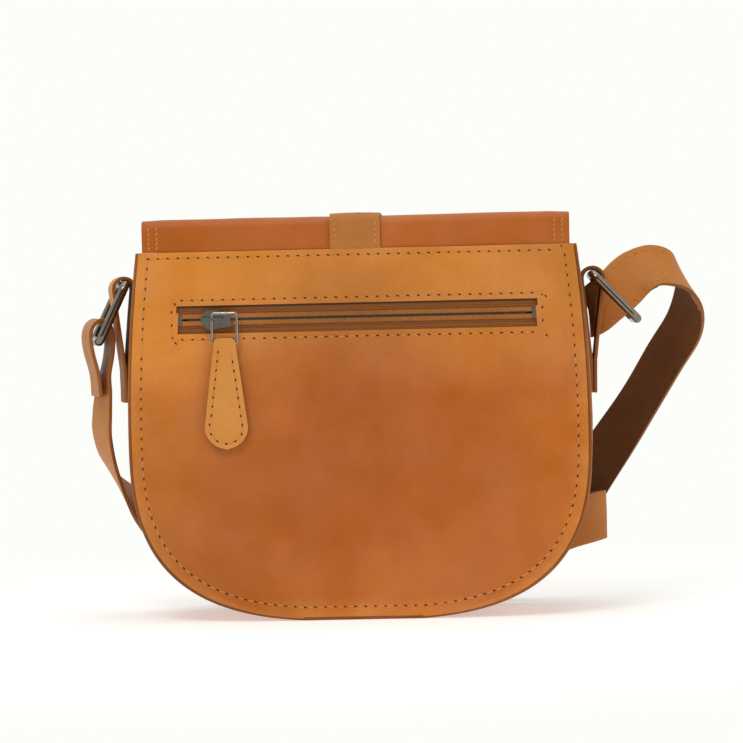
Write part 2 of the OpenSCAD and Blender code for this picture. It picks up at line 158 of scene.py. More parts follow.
def soft_noise(x, y, z, size):
    """Smooth noise from -1 to 1 whose lumps measure size."""
    return noise.noise(Vector((x, y, z)) / size)


def across_box(low, high, u, v):
    """Place (x, z) at the shares u and v of a box's width and height."""
    return low[0] + u * (high[0] - low[0]), low[2] + v * (high[2] - low[2])


def clear_selection():
    if bpy.context.object and bpy.context.object.mode != "OBJECT":
        bpy.ops.object.mode_set(mode="OBJECT")
    bpy.ops.object.select_all(action="DESELECT")


def pick(piece):
    """Makes the piece the only selected and the active one."""
    clear_selection()
    piece.select_set(True)
    bpy.context.view_layer.objects.active = piece


def edit_all(piece, operator, **options):
    """Runs an edit mode operator on the whole mesh of the piece."""
    pick(piece)
    bpy.ops.object.mode_set(mode="EDIT")
    bpy.ops.mesh.select_all(action="SELECT")
    operator(**options)
    bpy.ops.object.mode_set(mode="OBJECT")


def grid_sheet(name, columns, rows, place):
    """A grid whose points are set by place(u, v), with u and v from 0 to 1."""
    clear_selection()
    bpy.ops.mesh.primitive_grid_add(x_subdivisions=columns, y_subdivisions=rows, size=1)
    piece = bpy.context.object
    piece.name = name
    piece.data.name = name
    for vertex in piece.data.vertices:
        vertex.co = place(vertex.co.x + 0.5, vertex.co.y + 0.5)
    piece.data.update()
    return piece


def thicken(piece, thickness, edge, back_slot=0, rim_slot=0):
    """Gives a sheet its wall, half to each side, and rounds its cut edges."""
    wall = piece.modifiers.new("wall", "SOLIDIFY")
    wall.thickness = thickness
    wall.offset = 0
    wall.use_even_offset = False
    wall.material_offset = back_slot
    wall.material_offset_rim = rim_slot
    rounding = piece.modifiers.new("rounding", "BEVEL")
    rounding.width = edge
    rounding.segments = 2
    rounding.limit_method = "ANGLE"
    rounding.angle_limit = math.radians(50)
    bpy.context.view_layer.objects.active = piece
    for modifier in list(piece.modifiers):
        bpy.ops.object.modifier_apply(modifier=modifier.name)
    smooth(piece)


def smooth(piece, angle=40):
    pick(piece)
    bpy.ops.object.shade_smooth_by_angle(angle=math.radians(angle))


def face_out(piece, inside=False):
    """Turns all normals outwards, or inwards where inside is set."""
    edit_all(piece, bpy.ops.mesh.normals_make_consistent, inside=inside)


def dress(piece, body, materials, replaced=()):
    """Rides the piece on its body, gives it its materials and hides the nodes that it replaces."""
    for made in materials:
        piece.data.materials.append(made)
    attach(piece, body)
    if replaced:
        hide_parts(*replaced)


def flip_if(piece, inwards):
    """Flips the normals where the measure says that they point the wrong way."""
    if inwards < 0:
        edit_all(piece, bpy.ops.mesh.flip_normals)


def facing(piece, centre):
    """Above zero if the sheet's normals point away from centre."""
    return sum(p.normal.dot(p.center - centre) * p.area for p in piece.data.polygons)


def finish_leather(piece, thickness, out=None):
    """Turns a sheet's face towards out, then gives it its wall, flesh side and rounded edges."""
    if out is not None:
        flip_if(piece, out * sum(p.normal.y * p.area for p in piece.data.polygons))
    thicken(piece, thickness, sizes().edge_round, back_slot=1, rim_slot=2)


def leathers(grain):
    """The three materials of a leather piece: grain side, flesh side and cut edge."""
    return [stuff(grain), stuff("flesh side"), stuff("leather edge")]


def join(pieces, name):
    pick(pieces[0])
    for piece in pieces:
        piece.select_set(True)
    bpy.ops.object.join()
    pieces[0].name = name
    pieces[0].data.name = name
    return pieces[0]


# Shader groups

class Shader:
    """Short ways to add and link shader nodes."""

    def __init__(self, tree):
        self.tree = tree

    def node(self, kind, **values):
        made = self.tree.nodes.new(kind)
        for name, value in values.items():
            setattr(made, name, value)
        return made

    def link(self, out, into):
        self.tree.links.new(out, into)

    def feed(self, socket, value):
        """Links a node's output to the socket, or sets a constant on it."""
        if isinstance(value, bpy.types.NodeSocket):
            self.link(value, socket)
        elif value is not None:
            socket.default_value = value

    def math(self, operation, a, b=None, clamp=False):
        made = self.node("ShaderNodeMath", operation=operation, use_clamp=clamp)
        for socket, value in zip(made.inputs, (a, b)):
            self.feed(socket, value)
        return made.outputs[0]

    def mix(self, share, a, b):
        made = self.node("ShaderNodeMix", data_type="RGBA")
        for socket, value in ((made.inputs["Factor"], share), (made.inputs[6], a), (made.inputs[7], b)):
            self.feed(socket, value)
        return made.outputs[2]

    def noise(self, vector, scale, detail=3.0, rough=0.5):
        made = self.node("ShaderNodeTexNoise")
        made.inputs["Scale"].default_value = scale
        made.inputs["Detail"].default_value = detail
        made.inputs["Roughness"].default_value = rough
        self.link(vector, made.inputs["Vector"])
        return made.outputs[0]

    def span(self, value, low, high, to_low=0.0, to_high=1.0):
        made = self.node("ShaderNodeMapRange")
        for name, number in (("From Min", low), ("From Max", high), ("To Min", to_low), ("To Max", to_high)):
            made.inputs[name].default_value = number
        self.link(value, made.inputs["Value"])
        return made.outputs[0]


def new_group(name, inputs, outputs):
    tree = bpy.data.node_groups.new(name, "ShaderNodeTree")
    for kind, label, value in inputs:
        tree.interface.new_socket(name=label, in_out="INPUT", socket_type=kind).default_value = value
    for kind, label in outputs:
        tree.interface.new_socket(name=label, in_out="OUTPUT", socket_type=kind)
    shader = Shader(tree)
    return shader, shader.node("NodeGroupInput"), shader.node("NodeGroupOutput")


def leather_group():
    """Pull-up leather: cloudy tone, darker pores, fine creases, uneven wax, and a paler tone of painted light
    on the panels.
    """
    s, given, out = new_group("Leather", [
        ("NodeSocketColor", "Tone", (0.45, 0.15, 0.04, 1)),
        ("NodeSocketFloat", "Clouds", 1.0),
        ("NodeSocketFloat", "Polish", 0.5),
        ("NodeSocketColor", "Lit Tone", (0.66, 0.235, 0.035, 1)),
        ("NodeSocketFloat", "Lit Share", 0.0),
        ("NodeSocketFloat", "Seed", 0.0),
    ], [("NodeSocketColor", "Color"), ("NodeSocketFloat", "Roughness"), ("NodeSocketFloat", "Height")])
    where = s.node("ShaderNodeTexCoord").outputs["Object"]
    shift = s.node("ShaderNodeVectorMath", operation="ADD")
    s.link(where, shift.inputs[0])
    s.link(given.outputs["Seed"], shift.inputs[1])
    at = shift.outputs[0]
    broad = s.noise(at, 9, 3, 0.5)
    clouds = s.noise(at, 26, 4, 0.55)
    patches = s.noise(at, 95, 4, 0.6)
    specks = s.noise(at, 900, 3, 0.6)
    pores = s.node("ShaderNodeTexVoronoi", feature="DISTANCE_TO_EDGE")
    pores.inputs["Scale"].default_value = 1500
    s.link(at, pores.inputs["Vector"])
    creases = s.node("ShaderNodeTexNoise", noise_type="RIDGED_MULTIFRACTAL")
    creases.inputs["Scale"].default_value = 75
    creases.inputs["Detail"].default_value = 3
    s.link(at, creases.inputs["Vector"])
    tone = s.span(broad, 0.3, 0.7, -0.12, 0.12)
    for pattern, low, depth in ((clouds, 0.3, 0.06), (patches, 0.3, 0.035), (specks, 0.35, 0.03)):
        tone = s.math("ADD", tone, s.span(pattern, low, 1 - low, -depth, depth))
    tone = s.math("MULTIPLY", tone, given.outputs["Clouds"])
    gain = s.math("ADD", tone, 1.0)
    # Painted light: this mask pales the tone towards the piece's top and its left side, standing in for the
    # light that falls there, and along the panels' rims as a painted highlight. The broad noise adds random
    # pale patches. Only pieces that are given a share of it take it.
    split = s.node("ShaderNodeSeparateXYZ")
    s.link(where, split.inputs[0])
    high = s.math("ADD", s.span(split.outputs["Z"], 112 * MM, 158 * MM),
                  s.span(split.outputs["X"], -20 * MM, -110 * MM, 0, 0.45))
    rim_highlight = s.node("ShaderNodeAttribute", attribute_name="rim_highlight").outputs["Fac"]
    high = s.math("ADD", high, s.span(broad, 0.3, 0.7, -0.25, 0.25), clamp=True)
    high = s.math("MAXIMUM", high, s.math("MULTIPLY", rim_highlight, s.span(patches, 0.2, 0.8, 0.45, 1.0)))
    wear_and_painted_light = s.mix(s.math("MULTIPLY", high, given.outputs["Lit Share"]),
                 given.outputs["Tone"], given.outputs["Lit Tone"])
    scaled = s.node("ShaderNodeVectorMath", operation="SCALE")
    s.link(wear_and_painted_light, scaled.inputs[0])
    s.link(gain, scaled.inputs["Scale"])
    warm = s.node("ShaderNodeHueSaturation")
    s.link(scaled.outputs[0], warm.inputs["Color"])
    s.link(s.span(clouds, 0.3, 0.7, 1.03, 0.97), warm.inputs["Saturation"])
    s.link(warm.outputs[0], out.inputs["Color"])
    rough = s.math("ADD", s.math("SUBTRACT", 1.0, given.outputs["Polish"]),
                   s.span(patches, 0.3, 0.7, -0.07, 0.1))
    s.link(rough, out.inputs["Roughness"])
    pore = s.span(pores.outputs["Distance"], 0.0, 0.12, 0.0, 1.0)
    height = s.math("ADD", s.math("MULTIPLY", pore, 0.35), s.math("MULTIPLY", specks, 0.5))
    height = s.math("ADD", height, s.math("MULTIPLY", creases.outputs[0], 0.35))
    s.link(height, out.inputs["Height"])
    return s.tree


def weave_group():
    """Plain woven cloth, its threads counted per metre in the piece's own space."""
    s, given, out = new_group("Weave", [
        ("NodeSocketColor", "Warp", (0.2, 0.08, 0.03, 1)),
        ("NodeSocketColor", "Weft", (0.1, 0.04, 0.015, 1)),
        ("NodeSocketFloat", "Threads", 1000.0),
    ], [("NodeSocketColor", "Color"), ("NodeSocketFloat", "Height")])
    where = s.node("ShaderNodeTexCoord").outputs["Object"]
    split = s.node("ShaderNodeSeparateXYZ")
    s.link(where, split.inputs[0])
    turn = s.math("MULTIPLY", given.outputs["Threads"], math.pi)
    across = s.math("SINE", s.math("MULTIPLY", s.math("ADD", split.outputs["X"], split.outputs["Y"]), turn))
    up = s.math("SINE", s.math("MULTIPLY", split.outputs["Z"], turn))
    over = s.math("MULTIPLY", across, up)
    s.link(s.mix(s.span(over, -0.3, 0.3), given.outputs["Warp"], given.outputs["Weft"]), out.inputs["Color"])
    height = s.math("ADD", s.math("ABSOLUTE", over), s.noise(where, 700, 2, 0.5))
    s.link(height, out.inputs["Height"])
    return s.tree


def metal_group():
    """Antique metal: dark in the pits, bright where it has been rubbed."""
    s, given, out = new_group("Worn Metal", [
        ("NodeSocketColor", "Bright", (0.4, 0.35, 0.28, 1)),
        ("NodeSocketColor", "Dark", (0.08, 0.06, 0.045, 1)),
        ("NodeSocketFloat", "Wear", 0.5),
    ], [("NodeSocketColor", "Color"), ("NodeSocketFloat", "Roughness"), ("NodeSocketFloat", "Height")])
    where = s.node("ShaderNodeTexCoord").outputs["Object"]
    patches = s.noise(where, 260, 4, 0.6)
    scratches = s.noise(where, 2400, 2, 0.6)
    wear_and_painted_light = s.math("ADD", s.span(patches, 0.2, 0.8, 0.3, 0.7),
                  s.math("SUBTRACT", given.outputs["Wear"], 0.5), clamp=True)
    s.link(s.mix(wear_and_painted_light, given.outputs["Dark"], given.outputs["Bright"]), out.inputs["Color"])
    s.link(s.span(patches, 0.3, 0.7, 0.26, 0.17), out.inputs["Roughness"])
    s.link(scratches, out.inputs["Height"])
    return s.tree


SPECULAR = 0.32


def material(name, group, values, bump=0.0, distance=0.3 * MM, metallic=0.0, roughness=None, sheen=0.0):
    """A material whose colour, roughness and bump come from one shared group."""
    made = bpy.data.materials.new(name)
    made.use_nodes = True
    tree = made.node_tree
    s = Shader(tree)
    shell = tree.nodes["Principled BSDF"]
    shell.inputs["Metallic"].default_value = metallic
    if roughness is not None:
        shell.inputs["Roughness"].default_value = roughness
    shell.inputs["Sheen Weight"].default_value = sheen
    holder = s.node("ShaderNodeGroup")
    holder.node_tree = group
    for label, value in values.items():
        holder.inputs[label].default_value = value
    shell.inputs["Specular IOR Level"].default_value = SPECULAR
    s.link(holder.outputs["Color"], shell.inputs["Base Color"])
    if "Roughness" in holder.outputs.keys():
        s.link(holder.outputs["Roughness"], shell.inputs["Roughness"])
    if bump:
        relief = s.node("ShaderNodeBump")
        relief.inputs["Strength"].default_value = bump
        relief.inputs["Distance"].default_value = distance
        s.link(holder.outputs["Height"], relief.inputs["Height"])
        s.link(relief.outputs[0], shell.inputs["Normal"])


# Settings of the add-on

def length(name, millimetres, about):
    return bpy.props.FloatProperty(name=name, description=about, default=millimetres * MM, min=0.0,
                                   precision=5, subtype="DISTANCE", unit="LENGTH")


def colour(name, value, about):
    return bpy.props.FloatVectorProperty(name=name, description=about, default=value, size=4,
                                         min=0.0, max=1.0, subtype="COLOR")


class BagSizes(bpy.types.PropertyGroup):
    stitch_pitch: length("Stitch pitch", 5, "Distance from one stitch to the next")
    stitch_length: length("Stitch length", 3.1, "Length of thread that shows in one stitch")
    thread_width: length("Thread width", 0.92, "Width of the sewing thread")
    # The hole between stitches is dark with painted shade.
    hole_length: length("Needle hole", 1.7, "Length of the dark hole between two stitches")
    edge_round: length("Edge rounding", 0.45, "Radius of the rounded leather edges")
    panel_relief: length("Panel relief", 0.7, "Height of the soft dents in the panels")
    stitch_inset: length("Stitch inset", 4.8, "Distance from a panel's edge to its stitch line")
    zip_inset: length("Zip frame", 2.8, "Distance from the zip window to its stitch line")


class BagColours(bpy.types.PropertyGroup):
    leather: colour("Leather", (0.455, 0.112, 0.010, 1), "Tone of the panels and the flap")
    # Painted light: the paler tone that the panels take towards their top, their left side and their rims,
    # where light falls on them, and in random pale patches.
    lit: colour("Lit leather", (0.64, 0.225, 0.032, 1), "Tone of the panels where they are rubbed")
    pull: colour("Pull leather", (0.66, 0.255, 0.045, 1), "Tone of the zip's leather pull")
    edge: colour("Leather edge", (0.30, 0.10, 0.018, 1), "Tone of the cut edges")
    flesh: colour("Flesh side", (0.125, 0.042, 0.006, 1), "Tone of the leather's unfinished back")
    strap: colour("Strap", (0.48, 0.165, 0.024, 1), "Tone of the shoulder strap")
    thread: colour("Thread", (0.62, 0.25, 0.048, 1), "Tone of the sewing thread")
    cloth: colour("Lining cloth", (0.10, 0.045, 0.02, 1), "Tone of the lining and the pocket")
    tape: colour("Zip tape", (0.40, 0.135, 0.027, 1), "Tone of the zip's woven tape")
    cord: colour("Zip cord", (0.42, 0.15, 0.028, 1), "Tone of the cords beside the zip's teeth")
    metal: colour("Metal", (0.26, 0.225, 0.18, 1), "Tone of the rubbed metal")
    zip_metal: colour("Zip metal", (0.38, 0.35, 0.30, 1), "Tone of the zip's rubbed metal")
    backdrop: colour("Backdrop", (0.98, 0.99, 0.95, 1), "Tone of the backdrop")


def sizes():
    return bpy.context.scene.bag_sizes


def colours():
    return bpy.context.scene.bag_colours


def stuff(name):
    return bpy.data.materials[name]


def dimmed(tone, share):
    """The tone with its red, green and blue cut to the share."""
    return [v * share for v in tone[:3]] + [1]


PLATED = ("ring_left", "ring_right", "strap_joining_loop", "strap_studs", "closure_buckle_frame",
          "closure_prong", "magnet_on_panel", "magnet_on_flap")
ZIP_PLATED = ("zip_end_stops", "zip_slider", "pull_loop")
TEETH = ("zip_teeth_upper", "zip_teeth_lower")
# Painted shade: the dark colour of the needle holes between stitches.
NEEDLE_HOLE_SHADE = (0.03, 0.012, 0.006, 1)
TOOTH_GAP = (0.02, 0.012, 0.008, 1)


class BAG_OT_materials(bpy.types.Operator):
    """Makes the leathers, cloths and metals and gives the metal nodes theirs"""
    bl_idname = "bag.materials"
    bl_label = "Materials"

    def execute(self, context):
        c = colours()
        hide, weave, metal = leather_group(), weave_group(), metal_group()
        for name, tone, clouds, polish, seed, bump in (
                ("panel leather", c.leather, 1.0, 0.52, 0.0, 0.35),
                ("flap leather", c.leather, 1.0, 0.55, 0.71, 0.35),
                ("gusset leather", c.leather, 1.0, 0.45, 0.17, 0.35),
                ("strap leather", c.strap, 1.0, 0.5, 0.31, 0.35),
                ("pull leather", c.pull, 1.0, 0.6, 0.23, 0.3),
                ("leather edge", c.edge, 2.0, 0.55, 0.0, 0.5),
                ("flesh side", c.flesh, 2.2, 0.2, 0.53, 0.8),
                ("thread", c.thread, 0.6, 0.35, 0.0, 0.6),
                ("zip cord", c.cord, 1.6, 0.25, 0.0, 0.8),
                ("needle hole shade", NEEDLE_HOLE_SHADE, 1.0, 0.1, 0.0, 0.0)):
            # Only the panel leather takes the painted light tone.
            material(name, hide, {"Tone": tone, "Clouds": clouds, "Polish": polish, "Seed": seed,
                                  "Lit Tone": c.lit, "Lit Share": float(name == "panel leather")}, bump)
        for name, tone, weft, threads, roughness, sheen in (
                ("lining cloth", c.cloth, 0.6, 1300.0, 0.85, 0.2),
                ("zip cloth", c.tape, 0.55, 1700.0, 0.8, 0.15)):
            material(name, weave, {"Warp": tone, "Weft": dimmed(tone, weft), "Threads": threads},
                     0.5, 0.2 * MM, roughness=roughness, sheen=sheen)
        dark = dimmed(c.metal, 0.3)
        for name, slot, bright, pits, wear, bump, nodes in (
                ("antique metal", "antique_metal", c.metal, dark, 0.62, 0.05, PLATED),
                ("zip metal", "zip_metal", c.zip_metal, dark, 0.9, 0.0, ZIP_PLATED),
                ("zip teeth", "zip_metal", c.zip_metal, TOOTH_GAP, 0.36, 0.0, TEETH)):
            material(name, metal, {"Bright": bright, "Dark": pits, "Wear": wear},
                     bump, 0.1 * MM, metallic=1.0)
            for node in nodes:
                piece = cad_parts[node]
                piece.material_slots[0].material = stuff(name)
                smooth(piece, 30)
        return {"FINISHED"}


# Panels, gusset and lining

WINDOW_SHARE = 0.79


def panel_rows(inset, top, low_rows, high_rows):
    """Heights of a panel's rows, close together where the outline turns."""
    turn = foot_turn(BODY_W / 2 - inset, FOOT_W)
    reach = foot_reach(turn, BELLY_Z - inset)
    low = [z for _, z in corner_points(BODY_W / 2 - inset, turn, reach, BELLY_Z, low_rows)[:-1]]
    marks = [BELLY_Z, ZIP_Z - ZIP_H / 2, ZIP_Z + ZIP_H / 2, top]
    counts = [high_rows, 8, high_rows // 2]
    high = [a + (b - a) * i / n for a, b, n in zip(marks, marks[1:], counts) for i in range(n)]
    return low + high + [top]


def creases_at(x, z):
    """Folds worn into the back panel: upright ones near its right edge, fine level ones near its left."""
    depth = 0
    for place, reach in ((96.5, 19), (100, 24), (103.2, 17)):
        lean = place * MM + 0.05 * (z - 104 * MM)
        depth -= 0.32 * MM * bump_at(x, lean, 1.1 * MM) * bump_at(z, 104 * MM, reach * MM)
    for place in (136.5, 139.6, 142.2, 146):
        lean = place * MM + 0.12 * (x + 106 * MM)
        depth -= 0.16 * MM * bump_at(z, lean, 1.1 * MM) * bump_at(x, -107 * MM, 8 * MM)
    return depth


def panel_sheet(name, y, out, inset, seed, window):
    """A panel in the saddle outline, softly dented, with its outer face towards out (-1 is the back)."""
    rows = panel_rows(inset, BODY_H, 46, 34)
    size = sizes()

    def rim_at(x, z):
        return min(half_width(z, inset) - abs(x), z - inset)

    def place(u, v):
        z = max(rows[round(v * (len(rows) - 1))], inset)
        side = 2 * u - 1
        full = half_width(z, inset)
        hole = min(ZIP_L / 2, WINDOW_SHARE * full)
        if abs(side) <= WINDOW_SHARE:
            x = side / WINDOW_SHARE * hole
        else:
            x = math.copysign(hole + (abs(side) - WINDOW_SHARE) / (1 - WINDOW_SHARE) * (full - hole), side)
        rim = rim_at(x, z)
        calm = min(max(min(rim, BODY_H - z) / (9 * MM), 0.0), 1.0)
        if window:
            calm *= 1 - 0.95 * bump_at(z, ZIP_Z - 6 * MM, 20 * MM)
        dents = soft_noise(x, seed, z, 42 * MM) + 0.5 * soft_noise(x, seed + 1, z, 17 * MM)
        pucker = 0.3 * math.cos(math.tau * abs(x) / (26 * MM)) * bump_at(z, inset, 11 * MM)
        belly = math.sin(math.pi * min(max(z, 0) / (138 * MM), 1)) * (1 - (x / full) ** 4)
        rise = size.panel_relief * (dents * calm + pucker) + 0.9 * MM * belly
        rise -= 0.3 * MM * bump_at(rim, size.stitch_inset, 1.6 * MM)
        rise -= 0.45 * MM * (1 - min(rim / (3 * MM), 1)) ** 2
        if window:
            rise += creases_at(x, z)
        return Vector((x, y + out * rise, z))

    piece = grid_sheet(name, 200, len(rows) - 1, place)
    # Painted highlight along the rim: a share that is highest at the panel's edge and fades over about 8 mm
    # inwards, which the leather turns into its paler painted-light tone.
    rim_highlight = piece.data.attributes.new("rim_highlight", "FLOAT", "POINT")
    for vertex, wear_and_painted_light in zip(piece.data.vertices, rim_highlight.data):
        wear_and_painted_light.value = 0.85 * bump_at(max(rim_at(vertex.co.x, vertex.co.z), 0), 0, 8 * MM)
    if window:
        pick(piece)
        bpy.ops.object.mode_set(mode="EDIT")
        bpy.ops.mesh.select_mode(type="FACE")
        bpy.ops.mesh.select_all(action="DESELECT")
        bpy.ops.object.mode_set(mode="OBJECT")
        for p in piece.data.polygons:
            p.select = abs(p.center.x) < ZIP_L / 2 and abs(p.center.z - ZIP_Z) < ZIP_H / 2
        bpy.ops.object.mode_set(mode="EDIT")
        bpy.ops.mesh.delete(type="FACE")
        bpy.ops.object.mode_set(mode="OBJECT")
    return piece


class BAG_OT_panels(bpy.types.Operator):
    """Builds the back and front panels"""
    bl_idname = "bag.panels"
    bl_label = "Panels"

    def execute(self, context):
        for node, low, high, out in (("back_panel", PANEL_LOW, PANEL_HIGH, -1),
                                     ("front_panel", FRONT_LOW, FRONT_HIGH, 1)):
            name = node.replace("_", " ").title().replace(" ", "_")
            piece = panel_sheet(name, (low[1] + high[1]) / 2, out, SEAM_LIP, 3.0 + out, node == "back_panel")
            dress(piece, "body", leathers("panel leather"), [node])
            finish_leather(piece, high[1] - low[1], out)
        return {"FINISHED"}


class BAG_OT_gusset(bpy.types.Operator):
    """Builds the gusset that runs down the sides and under the bag"""
    bl_idname = "bag.gusset"
    bl_label = "Gusset"

    def execute(self, context):
        rail = Rail([(x, 0, z) for x, z in body_outline(GUSSET_T / 2, BODY_H)])
        low, high = GUSSET_LOW[1], GUSSET_HIGH[1]

        def place(u, v):
            s = v * rail.length
            p = rail.at(s)
            way = rail.heading(s)
            y = low + u * (high - low)
            calm = min(min(u, 1 - u) * (high - low) / (9 * MM), 1.0) if p.z > 14 * MM else 0
            sag = soft_noise(s, 5.0, y, 30 * MM) * sizes().panel_relief
            if min(s, rail.length - s) > 12 * MM:
                sag -= 0.6 * MM
            return Vector((p.x, y, max(p.z, GUSSET_T / 2))) - Vector((way.z, 0, -way.x)) * sag * calm

        piece = grid_sheet("Gusset", 26, 240, place)
        dress(piece, "body", leathers("gusset leather"), ["gusset"])
        flip_if(piece, facing(piece, Vector((0, 0, BODY_H / 2))))
        finish_leather(piece, GUSSET_T)
        return {"FINISHED"}


LINING_CORNER = 8 * MM
LINING_T = 0.7 * MM
CLOTH_ROUND = 0.15 * MM


class BAG_OT_lining(bpy.types.Operator):
    """Builds the lining and the zip pocket's pouch"""
    bl_idname = "bag.lining"
    bl_label = "Lining and pouch"

    def execute(self, context):
        self.lining()
        self.pouch()
        return {"FINISHED"}

    def lining(self):
        """A cloth sack inside the walls, open at the mouth."""
        low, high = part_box("lining")
        inset = GUSSET_T + 0.9 * MM
        rows = panel_rows(inset, high[2], 30, 8)
        middle, depth = (low[1] + high[1]) / 2, (high[1] - low[1]) / 2 - 0.6 * MM

        def place(u, v):
            row = v * (len(rows) + 2)
            z = max(rows[max(round(row) - 3, 0)], inset)
            shrink = min(row / 3, 1.0)
            half = half_width(z, inset)
            turn = math.tau * u
            r = min(LINING_CORNER, half, depth)
            c, s = math.cos(turn), math.sin(turn)
            x = (half - r) * max(-1.0, min(1.0, 1.9 * c)) + r * c
            y = (depth - r) * max(-1.0, min(1.0, 3.2 * s)) + r * s
            fold = soft_noise(x, y, z, 35 * MM) * 0.6 * MM
            return Vector((x * shrink, middle + y * shrink - math.copysign(abs(fold), y), z))

        piece = grid_sheet("Lining", 96, len(rows) + 2, place)
        edit_all(piece, bpy.ops.mesh.remove_doubles, threshold=0.02 * MM)
        dress(piece, "body", [stuff("lining cloth")], ["lining"])
        face_out(piece, inside=True)
        thicken(piece, LINING_T, CLOTH_ROUND)

    def pouch(self):
        """The flat pouch behind the zip, a little narrower at its foot."""
        low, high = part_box("pocket_pouch")

        def place(u, v):
            x, z = across_box(low, high, u, v)
            foot = max(0.0, 1 - (z - low[2]) / (20 * MM))
            return Vector((x * (1 - 0.11 * foot ** 2), (low[1] + high[1]) / 2, z))

        piece = grid_sheet("Pocket_Pouch", 40, 30, place)
        dress(piece, "body", [stuff("lining cloth")], ["pocket_pouch"])
        thicken(piece, high[1] - low[1] - 0.1 * MM, CLOTH_ROUND)


# Folded leathers that cross the flap's hinge


def fold_rail(back_y, back_low_z, top_z, front_y, front_low_z, radius, back_radius):
    """Profile up the back, over the mouth and down the front, as points (0, y, z)."""
    quarter = [math.radians(90 * i / 8) for i in range(9)]
    points = [(back_y, back_low_z)]
    points += [(back_y + back_radius * (1 - math.cos(t)), top_z - back_radius * (1 - math.sin(t)))
               for t in quarter]
    points += [(front_y - radius * (1 - math.sin(t)), top_z - radius * (1 - math.cos(t))) for t in quarter]
    points.append((front_y, front_low_z))
    return Rail([(0, y, z) for y, z in points])


def fold_out(rail, s):
    """Direction out of the bag at distance s along a fold's profile."""
    way = rail.heading(s)
    return Vector((0, -way.z, way.y))


FLAP_T = 2 * MM
FLAP_BEND_R = 8 * MM
FLAP_BACK_R = 3 * MM
FLAP_W = FLAP_HIGH[0] - FLAP_LOW[0]
FLAP_CORNER = 75 * MM
FLAP_FOOT = 40 * MM
FLAP_TURN = foot_turn(FLAP_W / 2, FLAP_FOOT)


def flap_half(z):
    """Half width of the flap's drop at height z."""
    rise = z - FLAP_LOW[2]
    if rise >= FLAP_CORNER:
        return FLAP_W / 2
    drop = (FLAP_CORNER - rise) / foot_reach(FLAP_TURN, FLAP_CORNER)
    return FLAP_W / 2 * (1 - drop ** CORNER_N) ** (1 / CORNER_N)


def bend_leather(piece, grain, thickness, *replaced):
    """Finishes a leather that bends between body and flap."""
    for made in leathers(grain):
        piece.data.materials.append(made)
    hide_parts(*replaced)
    flip_if(piece, facing(piece, Vector((0, 0, 50 * MM))))
    finish_leather(piece, thickness)
    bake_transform(piece)


class BAG_OT_flap(bpy.types.Operator):
    """Builds the flap in one piece with the strip that is sewn to the back panel"""
    bl_idname = "bag.flap"
    bl_label = "Flap"

    def execute(self, context):
        half = FLAP_T / 2
        rail = fold_rail(STRIP_LOW[1] + half, STRIP_LOW[2] + 0.1 * MM, FLAP_HIGH[2] - half,
                         FLAP_HIGH[1] - half, FLAP_LOW[2], FLAP_BEND_R, FLAP_BACK_R)
        top = rail.length - (FLAP_HIGH[2] - FLAP_LOW[2] - FLAP_BEND_R)
        drop = rail.length - top - FLAP_CORNER
        back_rows, drop_rows, corner_rows = 44, 20, 34
        marks = [top * i / back_rows for i in range(back_rows)]
        marks += [top + drop * i / drop_rows for i in range(drop_rows)]
        corner = corner_points(FLAP_W / 2, FLAP_TURN, foot_reach(FLAP_TURN, FLAP_CORNER), 0, corner_rows)
        marks += [top + drop - z for _, z in reversed(corner)]

        def place(u, v):
            s = min(marks[round(v * (len(marks) - 1))], rail.length)
            p = rail.at(s)
            reach_x = flap_half(max(p.z, FLAP_LOW[2])) if p.y > 0 else FLAP_W / 2
            x = (2 * u - 1) * reach_x
            edge = min((FLAP_W / 2 - abs(x)) / (10 * MM), 1.0)
            if s < top:
                crown = 0.5 * MM * edge + 0.35 * MM * soft_noise(x, 9.0, s, 30 * MM)
                crown *= min(s / (14 * MM), 1.0) * (1 - bump_at(x, 0, 16 * MM))
            else:
                crown = 0.4 * MM * soft_noise(x, 9.0, p.z, 38 * MM) * edge
            return Vector((x, p.y, p.z)) + fold_out(rail, s) * crown

        piece = grid_sheet("Flap", 90, len(marks) - 1, place)
        bend_leather(piece, "flap leather", FLAP_T, "flap", "flap_back_strip")
        return {"FINISHED"}


TIP_SHARE = 0.94
CLOSURE_T = 1.8 * MM
CLOSURE_BEND_R = 9.9 * MM
CLOSURE_BACK_R = 3.9 * MM
KEEPER_T = 1.5 * MM


